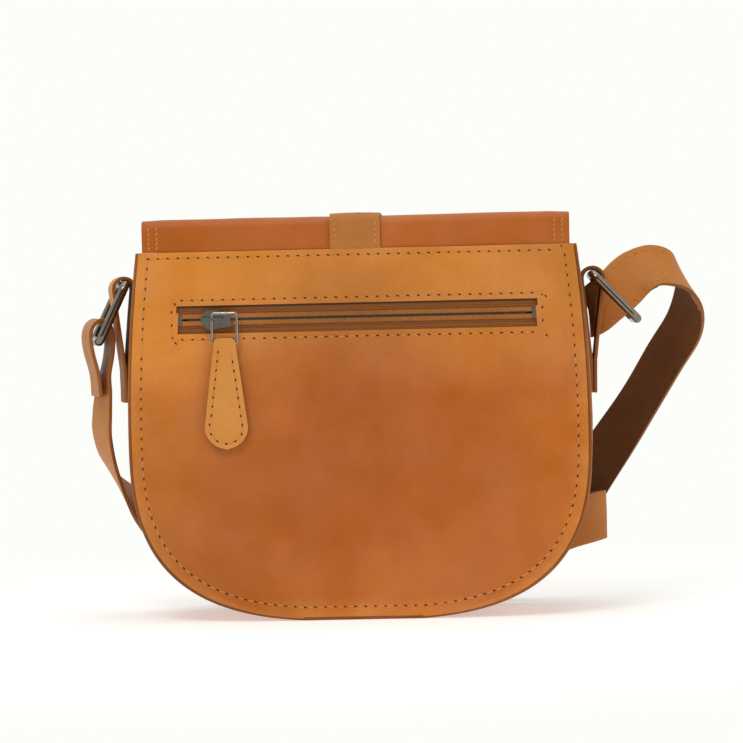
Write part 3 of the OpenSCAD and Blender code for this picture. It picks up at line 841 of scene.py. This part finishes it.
class BAG_OT_closure(bpy.types.Operator):
    """Builds the strap over the flap's middle and the keeper on the flap"""
    bl_idname = "bag.closure"
    bl_label = "Closure strap"

    def execute(self, context):
        self.strap()
        self.keeper()
        return {"FINISHED"}

    def strap(self):
        """The strap from the back strip over the flap, down to its round tip."""
        half = CLOSURE_T / 2
        tip = (CLOSURE_HIGH[0] - CLOSURE_LOW[0]) / 2
        rail = fold_rail(CLOSURE_BACK_LOW[1] + half, CLOSURE_BACK_LOW[2] + 0.1 * MM, CLOSURE_HIGH[2] - half,
                         CLOSURE_HIGH[1] - half, CLOSURE_LOW[2], CLOSURE_BEND_R, CLOSURE_BACK_R)

        def place(u, v):
            s = v * (rail.length - tip)
            if v > TIP_SHARE:
                turn = math.pi / 2 * (v - TIP_SHARE) / (1 - TIP_SHARE)
                s = max(rail.length - tip * (1 - math.sin(turn)), TIP_SHARE * (rail.length - tip))
            p = rail.at(s)
            left = rail.length - s
            reach_x = tip if left > tip else math.sqrt(max(tip ** 2 - (tip - left) ** 2, (1.5 * MM) ** 2))
            x = (2 * u - 1) * reach_x
            crown = 0.3 * MM * math.cos(math.pi / 2 * (2 * u - 1))
            crown += 0.15 * MM * soft_noise(x, 2.0, s, 20 * MM)
            crown -= 1.5 * MM * max(0.0, 1 - s / (4 * MM)) ** 2
            return Vector((x, p.y, p.z)) + fold_out(rail, s) * crown

        piece = grid_sheet("Closure_Strap", 14, 150, place)
        bend_leather(piece, "strap leather", CLOSURE_T, "closure_strap", "closure_strap_back")

    def keeper(self):
        """The band on the flap that holds the strap down."""
        low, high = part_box("closure_keeper")
        half, corner = KEEPER_T / 2, KEEPER_T * 1.2
        left = [(low[0] + half, low[1], 0), (low[0] + half, high[1] - corner, 0),
                (low[0] + corner, high[1] - half, 0)]
        loop = Rail(left + [(low[0] + high[0] - x, y, 0) for x, y, _ in reversed(left)])

        def band(u, v):
            p = loop.at(v * loop.length)
            return Vector((p.x, p.y, low[2] + u * (high[2] - low[2])))

        keeper = grid_sheet("Closure_Keeper", 4, 60, band)
        dress(keeper, "flap", leathers("flap leather"), ["closure_keeper"])
        finish_leather(keeper, KEEPER_T, 1)


# Straps and tabs

def curve(route, steps=6):
    """Catmull-Rom curve through stations of six numbers: place, then the direction across."""
    made = []
    last = len(route) - 1
    for i in range(last):
        a, b = route[max(i - 1, 0)], route[i]
        c, d = route[i + 1], route[min(i + 2, last)]
        for k in range(steps):
            t = k / steps
            made.append([0.5 * (2 * q + (r - p) * t + (2 * p - 5 * q + 4 * r - w) * t * t
                                + (3 * q - p - 3 * r + w) * t ** 3) for p, q, r, w in zip(a, b, c, d)])
    made.append(list(route[-1]))
    return made


class Ribbon:
    """A strip of leather along stations, with its width direction at each place."""

    def __init__(self, route, steps=6):
        made = curve(route, steps)
        self.rail = Rail([[v * MM for v in s[:3]] for s in made])
        self.across = Rail([s[3:] for s in made])

    def side(self, s):
        """Unit vectors along, across and out of the strip's face at distance s."""
        low, share = self.rail.find(s)
        wide = self.across.points[low].lerp(self.across.points[low + 1], share)
        way = self.rail.heading(s, 1.2 * MM)
        wide = (wide - way * wide.dot(way)).normalized()
        return way, wide, way.cross(wide)

    def at(self, s, across=0.0, out=0.0):
        _, wide, face = self.side(s)
        return self.rail.at(s) + wide * across + face * out


# The straps' routes in millimetres, with the direction across the strap at each station
LONG_ROUTE = [
    [150, 21, 174, .3, -.5, -.75], [142, 21, 171, .5, -.35, -.8], [134, 22, 163.5, .7, 0, -.7],
    [128, 21.4, 158.5, .65, 0, -.76], [121.8, 20.6, 153.5, .35, 0, -.94], [118.4, 17.2, 150.5, 0, 0, -1],
    [121.8, 13.8, 153.5, .35, 0, -.94], [128, 13.1, 158.5, .65, 0, -.76], [134, 13, 163.5, .7, 0, -.7],
    [142, 15.5, 171, .5, -.35, -.8], [153, 18, 175, .2, -.55, -.8],
    [165, 24, 171, .3, -.6, -.75], [171, 36, 160, .45, -.65, -.65], [169, 48, 144, .65, -.65, -.5],
    [159, 57, 127, .7, -.6, -.42], [144.5, 61, 103, .7, -.6, -.42], [124, 62, 73, .75, -.3, -.5],
    [102, 62, 43, .7, 0, -.7], [76, 62, 22, .4, 0, -.9], [50, 62, 14, 0, 0, -1],
    [0, 62, 13, 0, 0, -1], [-50, 62, 13, 0, 0, -1],
    [-74, 62, 13, 0, 0, -1], [-81, 59, 13, 0, 0, -1], [-74, 56, 13, 0, 0, -1], [-50, 56, 13, 0, 0, -1],
    [0, 56, 13, 0, 0, -1], [45, 56, 15, 0, 0, -1], [75, 56, 26, .3, 0, -1], [100, 56, 38.5, .25, 0, -1],
    [118, 54, 43.6, .1, 0, -1], [125, 48, 45.2, 0, 0, -1], [118, 42, 43.6, .1, 0, -1],
    [100, 40, 38.5, .25, 0, -1], [75, 40, 27, .3, 0, -1], [45, 40, 18, 0, 0, -1], [20, 40, 17, 0, 0, -1],
    [2, 40.7, 17, 0, 0, -1], [-10, 41, 17, 0, 0, -1], [-14.5, 41, 17, 0, 0, -1], [-16.8, 42.1, 17, 0, 0, -1],
    [-17.7, 44.1, 17, 0, 0, -1], [-16.8, 46.1, 17, 0, 0, -1], [-14.5, 47.2, 17, 0, 0, -1],
    [-10, 47, 17, 0, 0, -1], [4, 44.4, 17, 0, 0, -1], [30, 43, 17, 0, 0, -1]]
SHORT_ROUTE = [
    [-135.3, -3.2, 114, .28, -.96, 0], [-136, -3.5, 125, .28, -.96, 0], [-138.7, -4.5, 136.5, .28, -.96, 0],
    [-139.6, -4.8, 145, .28, -.96, 0], [-137.8, -4.2, 150.6, .28, -.96, 0], [-133.8, -2.6, 153, .28, -.96, 0],
    [-129.9, -1.1, 150.4, .28, -.96, 0], [-128.4, -.6, 144, .28, -.96, 0], [-129, -.9, 135, .28, -.96, 0],
    [-131, -1.5, 125, .3, -.95, 0], [-132, -1.4, 116, .4, -.92, 0], [-133, -.8, 106, .45, -.89, 0],
    [-133.6, 1.5, 94, .45, -.89, -.1], [-131.6, 8, 80, .42, -.87, -.25], [-127.4, 18.5, 67.5, .35, -.8, -.5],
    [-121.2, 29.5, 57, .2, -.65, -.75], [-112.5, 38.5, 49.5, .05, -.35, -.93], [-101, 44.5, 43, 0, -.12, -1],
    [-87, 47, 36, 0, 0, -1], [-71, 45.5, 27.5, 0, 0, -1], [-55, 42, 20, 0, 0, -1],
    [-45, 41.1, 17.6, 0, 0, -1], [-36, 41, 17, 0, 0, -1], [-31.5, 41, 17, 0, 0, -1],
    [-29.2, 42.1, 17, 0, 0, -1],
    [-28.3, 44.1, 17, 0, 0, -1], [-29.2, 46.1, 17, 0, 0, -1], [-31.5, 47.2, 17, 0, 0, -1],
    [-36, 47, 17, 0, 0, -1], [-48, 45.2, 17.4, 0, 0, -1], [-60, 46, 20, 0, 0, -1]]
LONG_RIBBON = Ribbon(LONG_ROUTE)
SHORT_RIBBON = Ribbon(SHORT_ROUTE)


def ribbon_piece(name, ribbon, rows, seed):
    """A strap swept along its ribbon, a little domed on the grain side."""
    def place(u, v):
        s = v * ribbon.rail.length
        side = 2 * u - 1
        dome = STRAP_DOME * (1 - side * side) + 0.12 * MM * soft_noise(s, seed, side * 6 * MM, 14 * MM)
        return ribbon.at(s, side * STRAP_W / 2, dome)

    return grid_sheet(name, 10, rows, place)


class BAG_OT_straps(bpy.types.Operator):
    """Builds the two lengths of shoulder strap"""
    bl_idname = "bag.straps"
    bl_label = "Shoulder strap"

    def execute(self, context):
        for name, node, ribbon, rows in (("Strap_Long", "strap_long", LONG_RIBBON, 620),
                                         ("Strap_Short", "strap_short", SHORT_RIBBON, 260)):
            piece = ribbon_piece(name, ribbon, rows, 1.7)
            dress(piece, "body", leathers("strap leather"), [node])
            bpy.context.view_layer.update()
            flip_if(piece, -piece.data.polygons[0].normal.dot(ribbon.side(1 * MM)[2]))
            finish_leather(piece, SHOWN_STRAP_T)
            for polygon in piece.data.polygons:
                if polygon.material_index == 1 and doubled(polygon.center, node):
                    polygon.material_index = 0
        return {"FINISHED"}


def doubled(place, node):
    """True where the strap is two leathers sewn back to back, so that grain shows on both sides."""
    if node == "strap_short":
        return True
    return (place.z > 150 * MM and place.y < 30 * MM) or (place.z < 60 * MM and place.y < 53 * MM)


TAB_LOOP_R = 5.45 * MM
TAB_L = 58 * MM
TAB_JOIN = 41 * MM
TAB_HALF_W = 11 * MM
TAB_T = 1.9 * MM
TAB_HALF_PAIR = 1.05 * MM
TAB_MIDDLE_X = 118.5 * MM
PIVOT_OUT = 6.75 * MM
TAB_LEAN = math.radians(0.855)
LEFT_TURN = math.radians(12)


def tab_rail(side):
    """Middle line of the leather that folds round a ring's upper bar, before its turn."""
    a = math.acos(TAB_LOOP_R / TAB_L)
    points = [(TAB_HALF_PAIR, -TAB_L), (TAB_HALF_PAIR, -TAB_JOIN)]
    for i in range(25):
        t = a - math.pi / 2 + (math.tau - 2 * a) * i / 24
        points.append((TAB_LOOP_R * math.cos(t), TAB_LOOP_R * math.sin(t)))
    points += [(-TAB_HALF_PAIR, -TAB_JOIN), (-TAB_HALF_PAIR, -TAB_L)]
    pivot_x = tab_pivot_x(side)
    top = PIVOT_Z - TAB_T
    placed = []
    for x, z in points:
        placed.append((side * (pivot_x + x * math.cos(TAB_LEAN) + z * math.sin(TAB_LEAN)), 0,
                       top - x * math.sin(TAB_LEAN) + z * math.cos(TAB_LEAN)))
    return Rail(placed)


def tab_pivot_x(side):
    """How far a ring's pivot stands out from the middle of the bag."""
    return half_width(PIVOT_Z) + PIVOT_OUT + (TAB_HALF_W * math.sin(LEFT_TURN) if side < 0 else 0)


class BAG_OT_tabs(bpy.types.Operator):
    """Folds a leather tab round the upper bar of each ring"""
    bl_idname = "bag.tabs"
    bl_label = "Ring tabs"

    def execute(self, context):
        for side, node in ((-1, "ring_tab_left"), (1, "ring_tab_right")):
            rail = tab_rail(side)
            pivot = Vector((side * tab_pivot_x(side), 0, 0))
            turn = Matrix.Rotation(LEFT_TURN if side < 0 else 0, 3, "Z")

            def place(u, v):
                s = v * rail.length
                p = rail.at(s)
                way = rail.heading(s)
                out = Vector((way.z, 0, -way.x)) * side
                y = (2 * u - 1) * TAB_HALF_W
                crown = 0.2 * MM * (1 - (2 * u - 1) ** 2) + 0.12 * MM * soft_noise(s, side, y, 12 * MM)
                return turn @ (Vector((p.x, y, p.z)) + out * crown - pivot) + pivot

            name = "Ring_Tab_" + ("Left" if side < 0 else "Right")
            piece = grid_sheet(name, 12, 110, place)
            dress(piece, "body", leathers("panel leather"), [node])
            middle_x = side * TAB_MIDDLE_X
            flip_if(piece, sum((p.normal.x * (p.center.x - middle_x) + p.normal.y * p.center.y) * p.area
                               for p in piece.data.polygons))
            finish_leather(piece, TAB_T)
        return {"FINISHED"}


PULL_NECK = 5.1 * MM
PULL_CORNER_R = 1.2 * MM
RIB_PITCH = 1.5 * MM
CORD_TURN = 1.3 * MM
CORD_HALF_W = 1.2 * MM
CORD_FROM_EDGE = 1.05 * MM


class BAG_OT_zip(bpy.types.Operator):
    """Builds the zip's woven tapes, the cords under its teeth and the leather pull on the slider"""
    bl_idname = "bag.zip"
    bl_label = "Zip tapes and pull"

    def execute(self, context):
        for node in ("zip_tape_upper", "zip_tape_lower"):
            self.tape(node)
        for node in TEETH:
            self.cord(node)
        self.pull()
        return {"FINISHED"}

    def tape(self, node):
        """One woven tape, ribbed along its length, with painted shade in a groove along it; the upper one
        also has a painted shadow along its edge.
        """
        low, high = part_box(node)

        def place(u, v):
            x, z = across_box(low, high, u, v)
            ripple = 0.08 * MM * soft_noise(x, 4.0, z, 9 * MM)
            rib = 0.22 * MM * abs(math.sin(math.pi * abs(z - ZIP_Z) / RIB_PITCH))
            return Vector((x, (low[1] + high[1]) / 2 + ripple - rib, z))

        piece = grid_sheet(node.title(), 120, 50, place)
        dress(piece, "body", [stuff("zip cloth"), stuff("lining cloth")], [node])
        for polygon in piece.data.polygons:
            # Painted shade: faces in the groove beside the cord, and on the upper tape the faces under the
            # window's upper edge, take the dark lining cloth as painted shadow.
            off = polygon.center.z - ZIP_Z
            groove_shade = 4.35 * MM < abs(off) < 4.7 * MM
            shaded = off > 6.1 * MM
            if groove_shade or shaded:
                polygon.material_index = 1
        thicken(piece, 0.4 * MM, 0.1 * MM)

    def cord(self, node):
        """The twisted cord that carries one row of teeth, laid over the plain bead of the solid."""
        low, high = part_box(node)
        middle = high[2] - CORD_FROM_EDGE if node.endswith("upper") else low[2] + CORD_FROM_EDGE

        def place(u, v):
            x = low[0] + u * (high[0] - low[0])
            turn = math.pi * (v - 0.5) * 1.1
            twist = 0.15 * MM * math.cos(math.tau * (x / CORD_TURN + v))
            across = math.copysign(abs(math.sin(turn)) ** 0.7, turn) * (CORD_HALF_W + twist)
            proud = max(math.cos(turn), 0) ** 0.25 * (high[1] - low[1] + 0.4 * MM) + twist
            return Vector((x, high[1] - max(proud, 0), middle + across))

        piece = grid_sheet(node.replace("teeth", "cord").title(), 840, 9, place)
        dress(piece, "body", [stuff("zip cord")])
        face_out(piece)

    def pull(self):
        """The leather pull: a narrow head, straight sides that spread and a round foot."""
        low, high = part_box("leather_pull")
        middle, wide = (low[0] + high[0]) / 2, (high[0] - low[0]) / 2
        wide_z = low[2] + wide

        def half_at(z):
            if z < wide_z:
                return math.sqrt(max(wide ** 2 - (wide_z - z) ** 2, 0))
            share = (z - wide_z) / (high[2] - wide_z)
            rounded = max(z - (high[2] - PULL_CORNER_R), 0)
            cut = PULL_CORNER_R - math.sqrt(max(PULL_CORNER_R ** 2 - rounded ** 2, 0))
            return wide + (PULL_NECK - wide) * share - cut

        def leaf(u, v):
            z = low[2] + (high[2] - 0.5 * MM - low[2]) * (1 - math.cos(math.pi * v)) / 2
            half = max(half_at(z), 0.8 * MM)
            side = 2 * u - 1
            dome = 0.3 * MM * (1 - side * side) * math.sin(math.pi * v)
            return Vector((middle + side * half, (low[1] + high[1]) / 2 - dome - 0.1 * MM, z))

        piece = grid_sheet("Leather_Pull", 22, 110, leaf)
        both_sides = stuff("pull leather")
        dress(piece, "pull", [both_sides, both_sides, stuff("leather edge")], ["leather_pull"])
        finish_leather(piece, high[1] - low[1] - 0.2 * MM, -1)


# Stitching

INWARDS = (0, 1, 0)
OUTWARDS = (0, -1, 0)
PLAIN_STITCH = 2.4 * MM
STRAP_SEAM = 92 * MM

# Pitches of the rows that don't take the panels' pitch
FRAME_PITCH = 5.1 * MM
TACK_PITCH = 1.6 * MM
STRIP_PITCH = 2.2 * MM
CLOSURE_PITCH = 2.7 * MM
PULL_PITCH = 4.4 * MM


def stitch_shape(plain=False):
    """One raised stitch along X, with the dark needle hole that follows it unless plain; the hole's dark
    colour is painted shade.
    """
    clear_selection()
    size = sizes()
    bpy.ops.mesh.primitive_uv_sphere_add(segments=8, ring_count=6, radius=0.5)
    thread = bpy.context.object
    if plain:
        bpy.ops.transform.resize(value=(PLAIN_STITCH, size.thread_width, size.thread_width))
        bpy.ops.transform.rotate(value=math.radians(28), orient_axis="Z", center_override=(0, 0, 0))
        bpy.ops.object.transform_apply(location=False, rotation=True, scale=True)
        thread.name = "Plain_Stitch"
        thread.data.materials.append(stuff("thread"))
        smooth(thread, 60)
        return thread
    bpy.ops.transform.resize(value=(size.stitch_length, size.thread_width, size.thread_width * 0.8))
    bpy.ops.object.transform_apply(location=False, rotation=False, scale=True)
    thread.data.materials.append(stuff("thread"))
    bpy.ops.mesh.primitive_uv_sphere_add(segments=8, ring_count=6, radius=0.5,
                                         location=(size.stitch_pitch / 2, 0, -0.02 * MM))
    hole = bpy.context.object
    bpy.ops.transform.resize(value=(size.hole_length, size.thread_width * 0.95, 0.34 * MM))
    bpy.ops.transform.rotate(value=math.radians(14), orient_axis="Z", center_override=hole.location)
    bpy.ops.object.transform_apply(location=True, rotation=True, scale=True)
    # The hole's dark colour is painted shade inside the needle hole.
    hole.data.materials.append(stuff("needle hole shade"))
    made = join([thread, hole], "Stitch")
    smooth(made, 60)
    return made


def sew(name, pattern, spots, rider):
    """Copies the stitch to each (place, way, out) and joins them into one row that moves as rider says."""
    copies = []
    for place, way, out in spots:
        across = out.cross(way).normalized()
        way = across.cross(out).normalized()
        turn = Matrix((way, across, out)).transposed().to_4x4()
        copy = bpy.data.objects.new("stitch", pattern.data.copy())
        copy.data.transform(Matrix.Translation(place) @ turn)
        bpy.context.scene.collection.objects.link(copy)
        copies.append(copy)
    row = join(copies, name)
    rider(row)


def spots_on(piece, points, cast, pitch=None):
    """Stitch places along points (x, y, z) dropped onto the piece along cast."""
    rail = Rail(points)
    pitch = pitch or sizes().stitch_pitch
    count = max(int(rail.length / pitch), 1)
    step = rail.length / count
    cast = Vector(cast)
    found = []
    for i in range(count):
        s = (i + 0.5) * step
        ends = []
        for t in (s - 1 * MM, s, s + 1 * MM):
            hit, place, normal, _ = piece.ray_cast(rail.at(t) - cast * 12 * MM, cast, distance=50 * MM)
            if hit:
                ends.append((place, normal))
        if len(ends) == 3 and ends[1][1].dot(cast) < -0.3:
            before, (place, normal), after = ends
            found.append((place, (after[0] - before[0]).normalized(), normal))
    return found


def rides(body):
    return lambda row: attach(row, body)


def bends(row):
    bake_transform(row)


class BAG_OT_stitching(bpy.types.Operator):
    """Sews every row of stitches onto its leather"""
    bl_idname = "bag.stitching"
    bl_label = "Stitching"

    def execute(self, context):
        pattern = stitch_shape()
        for name, y, cast in (("Back_Panel", PANEL_LOW[1], INWARDS),
                              ("Front_Panel", FRONT_HIGH[1], OUTWARDS)):
            sew(name + "_Stitches", pattern, panel_spots(name, y, cast), rides("body"))
        sew("Zip_Frame_Stitches", pattern, zip_frame_spots(), rides("body"))
        plain = stitch_shape(True)
        sew("Back_Strip_Stitches", plain, back_strip_spots(), bends)
        sew("Flap_Stitches", pattern, flap_spots(4 * MM), bends)
        sew("Closure_Strap_Stitches", plain, closure_spots(), bends)
        sew("Pull_Stitches", pattern, pull_spots(2.7 * MM), rides("pull"))
        sew("Strap_Long_Stitches", plain, strap_spots(0.75 * sizes().stitch_pitch), rides("body"))
        bpy.data.objects.remove(plain)
        bpy.data.objects.remove(pattern)
        return {"FINISHED"}


def panel_spots(name, y, cast):
    """Stitch places all round a panel and along its mouth."""
    outline = body_outline(SEAM_LIP + sizes().stitch_inset, BODY_H - 3 * MM, 120)
    return spots_on(bpy.data.objects[name], [(x, y, z) for x, z in outline + outline[:1]], cast)


def zip_frame_spots():
    """Stitch places round the zip window, with a slanting tack at each corner."""
    panel, y = bpy.data.objects["Back_Panel"], PANEL_LOW[1]
    x, rise = ZIP_L / 2 + sizes().zip_inset, ZIP_H / 2 + sizes().zip_inset
    low, high = ZIP_Z - rise, ZIP_Z + rise
    corners = [Vector(p) for p in ((-x, y, low), (x, y, low), (x, y, high), (-x, y, high))]
    slant = Vector((0.8 * MM, 0, -0.8 * MM))
    spots = []
    for a, b in zip(corners, corners[1:] + corners[:1]):
        spots += spots_on(panel, [a, b], INWARDS, FRAME_PITCH)
    for corner in corners:
        spots += spots_on(panel, [corner - slant, corner + slant], INWARDS, TACK_PITCH)
    return spots


def back_strip_spots():
    """Stitch places in two upright rows at each end of the flap's back strip."""
    spots = []
    for side in (-1, 1):
        for off in (3.5 * MM, 7.5 * MM):
            x, y = side * (FLAP_W / 2 - off), STRIP_LOW[1]
            ends = [(x, y, STRIP_LOW[2] + 1 * MM), (x, y, STRIP_HIGH[2] - 3 * MM)]
            spots += spots_on(bpy.data.objects["Flap"], ends, INWARDS, STRIP_PITCH)
    return spots


def flap_spots(inset):
    """Stitch places round the flap's drop, inset from its edge."""
    a = FLAP_W / 2 - inset
    reach = foot_reach(FLAP_TURN, FLAP_CORNER - inset)
    right = corner_points(a, FLAP_TURN, reach, FLAP_LOW[2] + FLAP_CORNER, 90)
    right.append((a, FLAP_HIGH[2] - 10 * MM))
    outline = [(-x, z) for x, z in reversed(right)] + right
    return spots_on(bpy.data.objects["Flap"], [(x, FLAP_HIGH[1], z) for x, z in outline], OUTWARDS)


def closure_spots():
    """Stitch places along both edges of the closure strap where it is sewn to the back strip."""
    spots = []
    for x in (-10 * MM, 10 * MM):
        y = CLOSURE_BACK_LOW[1]
        ends = [(x, y, STRIP_LOW[2] + 2 * MM), (x, y, CLOSURE_BACK_HIGH[2] - 4 * MM)]
        spots += spots_on(bpy.data.objects["Closure_Strap"], ends, INWARDS, CLOSURE_PITCH)
    return spots


def pull_spots(inset):
    """Stitch places down one side of the leather pull, round its foot and up the other side."""
    low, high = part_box("leather_pull")
    middle, wide = (low[0] + high[0]) / 2, (high[0] - low[0]) / 2
    wide_z, top = low[2] + wide, high[2] - 7 * MM
    narrow = wide + (PULL_NECK - wide) * (top - wide_z) / (high[2] - wide_z)
    points = [(middle + narrow - inset, top)]
    for i in range(41):
        turn = math.pi / 2 - math.pi * i / 40
        points.append((middle + (wide - inset) * math.sin(turn), wide_z - (wide - inset) * math.cos(turn)))
    points.append((middle - narrow + inset, top))
    outline = [(x, low[1], z) for x, z in points]
    return spots_on(bpy.data.objects["Leather_Pull"], outline, INWARDS, PULL_PITCH)


def strap_spots(pitch):
    """Stitch places on both faces of the long strap's end, along both of its edges."""
    spots = []
    count = int(STRAP_SEAM / pitch)
    for side in (-1, 1):
        edge = side * (STRAP_W / 2 - 2.6 * MM)
        dome = STRAP_DOME * (1 - (2 * edge / STRAP_W) ** 2)
        for i in range(count):
            s = (i + 0.8) * STRAP_SEAM / count
            way, _, face = LONG_RIBBON.side(s)
            spots.append((LONG_RIBBON.at(s, edge, dome + SHOWN_STRAP_T / 2), way, face))
            spots.append((LONG_RIBBON.at(s, edge, dome - SHOWN_STRAP_T / 2), way, -face))
    return spots


# Stage

class BAG_OT_stage(bpy.types.Operator):
    """Sets up the floor, the lights and the camera"""
    bl_idname = "bag.stage"
    bl_label = "Stage"

    def execute(self, context):
        scene = context.scene
        scene.view_settings.view_transform = "Standard"
        clear_selection()
        bpy.ops.mesh.primitive_plane_add(size=6, location=(0, 0, 0))
        floor = bpy.context.object
        floor.name = "Floor"
        floor.data.materials.append(self.paper())
        self.room(scene)
        self.lamp("key", (-0.35, -0.9, 1.25), 0.5, 6.4, (0, 0, 0.12))
        self.lamp("top", (0.05, 0.1, 1.3), 1.0, 4.6, (0, 0, 0.1))
        self.lamp("fill", (0.9, -0.7, 0.5), 0.8, 1.5, (0, 0, 0.1))
        self.camera(scene)
        return {"FINISHED"}

    def room(self, scene):
        """A bright backdrop that lights the bag dimly and leaves a dark band for the metal to mirror."""
        world = bpy.data.worlds.new("studio")
        scene.world = world
        world.use_nodes = True
        s = Shader(world.node_tree)
        sky = world.node_tree.nodes["Background"]
        path = s.node("ShaderNodeLightPath")
        seen = s.math("MAXIMUM", path.outputs["Is Camera Ray"], path.outputs["Is Glossy Ray"])
        seen = s.math("MAXIMUM", seen, path.outputs["Is Transmission Ray"])
        split = s.node("ShaderNodeSeparateXYZ")
        s.link(s.node("ShaderNodeTexCoord").outputs["Generated"], split.inputs[0])
        bare = s.math("MULTIPLY", path.outputs["Is Glossy Ray"],
                      s.span(split.outputs["Y"], -0.62, -0.86, 0.0, 0.93))
        seen = s.math("MULTIPLY", seen, s.math("SUBTRACT", 1.0, bare))
        dim = s.mix(bare, (0.38, 0.38, 0.38, 1), (0.02, 0.02, 0.02, 1))
        s.link(s.mix(seen, dim, tuple(colours().backdrop)), sky.inputs["Color"])

    def paper(self):
        """White paper that keeps the bag's soft shadow and fades into the backdrop further out."""
        made = bpy.data.materials.new("paper")
        made.use_nodes = True
        tree = made.node_tree
        s = Shader(tree)
        shell = tree.nodes["Principled BSDF"]
        shell.inputs["Base Color"].default_value = (0.8, 0.8, 0.78, 1)
        shell.inputs["Roughness"].default_value = 0.9
        shell.inputs["Emission Color"].default_value = tuple(colours().backdrop)
        shell.inputs["Emission Strength"].default_value = 0.44
        glow = s.node("ShaderNodeEmission")
        glow.inputs["Color"].default_value = tuple(colours().backdrop)
        far = s.node("ShaderNodeVectorMath", operation="LENGTH")
        s.link(s.node("ShaderNodeTexCoord").outputs["Object"], far.inputs[0])
        fade = s.span(far.outputs["Value"], 0.16, 0.42)
        seen = s.math("MULTIPLY", fade, s.node("ShaderNodeLightPath").outputs["Is Camera Ray"])
        blend = s.node("ShaderNodeMixShader")
        s.link(seen, blend.inputs[0])
        s.link(shell.outputs[0], blend.inputs[1])
        s.link(glow.outputs[0], blend.inputs[2])
        s.link(blend.outputs[0], tree.nodes["Material Output"].inputs["Surface"])
        return made

    def lamp(self, name, place, size, power, target):
        light = bpy.data.lights.new(name, "AREA")
        light.size = size
        light.energy = power
        lamp = bpy.data.objects.new(name, light)
        lamp.location = place
        lamp.rotation_euler = (Vector(target) - Vector(place)).to_track_quat("-Z", "Y").to_euler()
        bpy.context.scene.collection.objects.link(lamp)

    def camera(self, scene):
        camera = bpy.data.objects.new("camera", bpy.data.cameras.new("camera"))
        scene.collection.objects.link(camera)
        scene.camera = camera
        away, frame_width, film = 1.5, 371.5 * MM, 36
        rise, side, lean = math.radians(1.0), math.radians(2.0), math.radians(-1.3)
        target = Vector((6.75 * MM, PANEL_LOW[1], 124.25 * MM))
        place = target + Vector((math.sin(side) * math.cos(rise), -math.cos(side) * math.cos(rise),
                                 math.sin(rise))) * away
        camera.location = place
        turn = (target - place).to_track_quat("-Z", "Y").to_matrix() @ Matrix.Rotation(lean, 3, "Z")
        camera.rotation_euler = turn.to_euler()
        camera.data.lens = film * away / frame_width
        camera.data.sensor_width = film
        camera.data.clip_end = 20


class BAG_PT_panel(bpy.types.Panel):
    """The bag's sizes, colours and pieces"""
    bl_label = "Shoulder Bag"
    bl_idname = "BAG_PT_panel"
    bl_space_type = "VIEW_3D"
    bl_region_type = "UI"
    bl_category = "Bag"

    def draw(self, context):
        for group in (context.scene.bag_sizes, context.scene.bag_colours):
            for name in group.bl_rna.properties.keys():
                if name not in ("rna_type", "name"):
                    self.layout.prop(group, name)
        for step in STEPS:
            self.layout.operator(step.bl_idname)


STEPS = (BAG_OT_materials, BAG_OT_panels, BAG_OT_gusset, BAG_OT_lining, BAG_OT_flap, BAG_OT_closure,
         BAG_OT_straps, BAG_OT_tabs, BAG_OT_zip, BAG_OT_stitching, BAG_OT_stage)
CLASSES = (BagSizes, BagColours) + STEPS + (BAG_PT_panel,)


def register():
    for cls in CLASSES:
        bpy.utils.register_class(cls)
    bpy.types.Scene.bag_sizes = bpy.props.PointerProperty(type=BagSizes)
    bpy.types.Scene.bag_colours = bpy.props.PointerProperty(type=BagColours)


def unregister():
    del bpy.types.Scene.bag_colours
    del bpy.types.Scene.bag_sizes
    for cls in reversed(CLASSES):
        bpy.utils.unregister_class(cls)


def main():
    register()
    bpy.ops.bag.materials()
    bpy.ops.bag.panels()
    bpy.ops.bag.gusset()
    bpy.ops.bag.lining()
    bpy.ops.bag.flap()
    bpy.ops.bag.closure()
    bpy.ops.bag.straps()
    bpy.ops.bag.tabs()
    bpy.ops.bag.zip()
    bpy.ops.bag.stitching()
    bpy.ops.bag.stage()


if __name__ == "__main__":
    main()
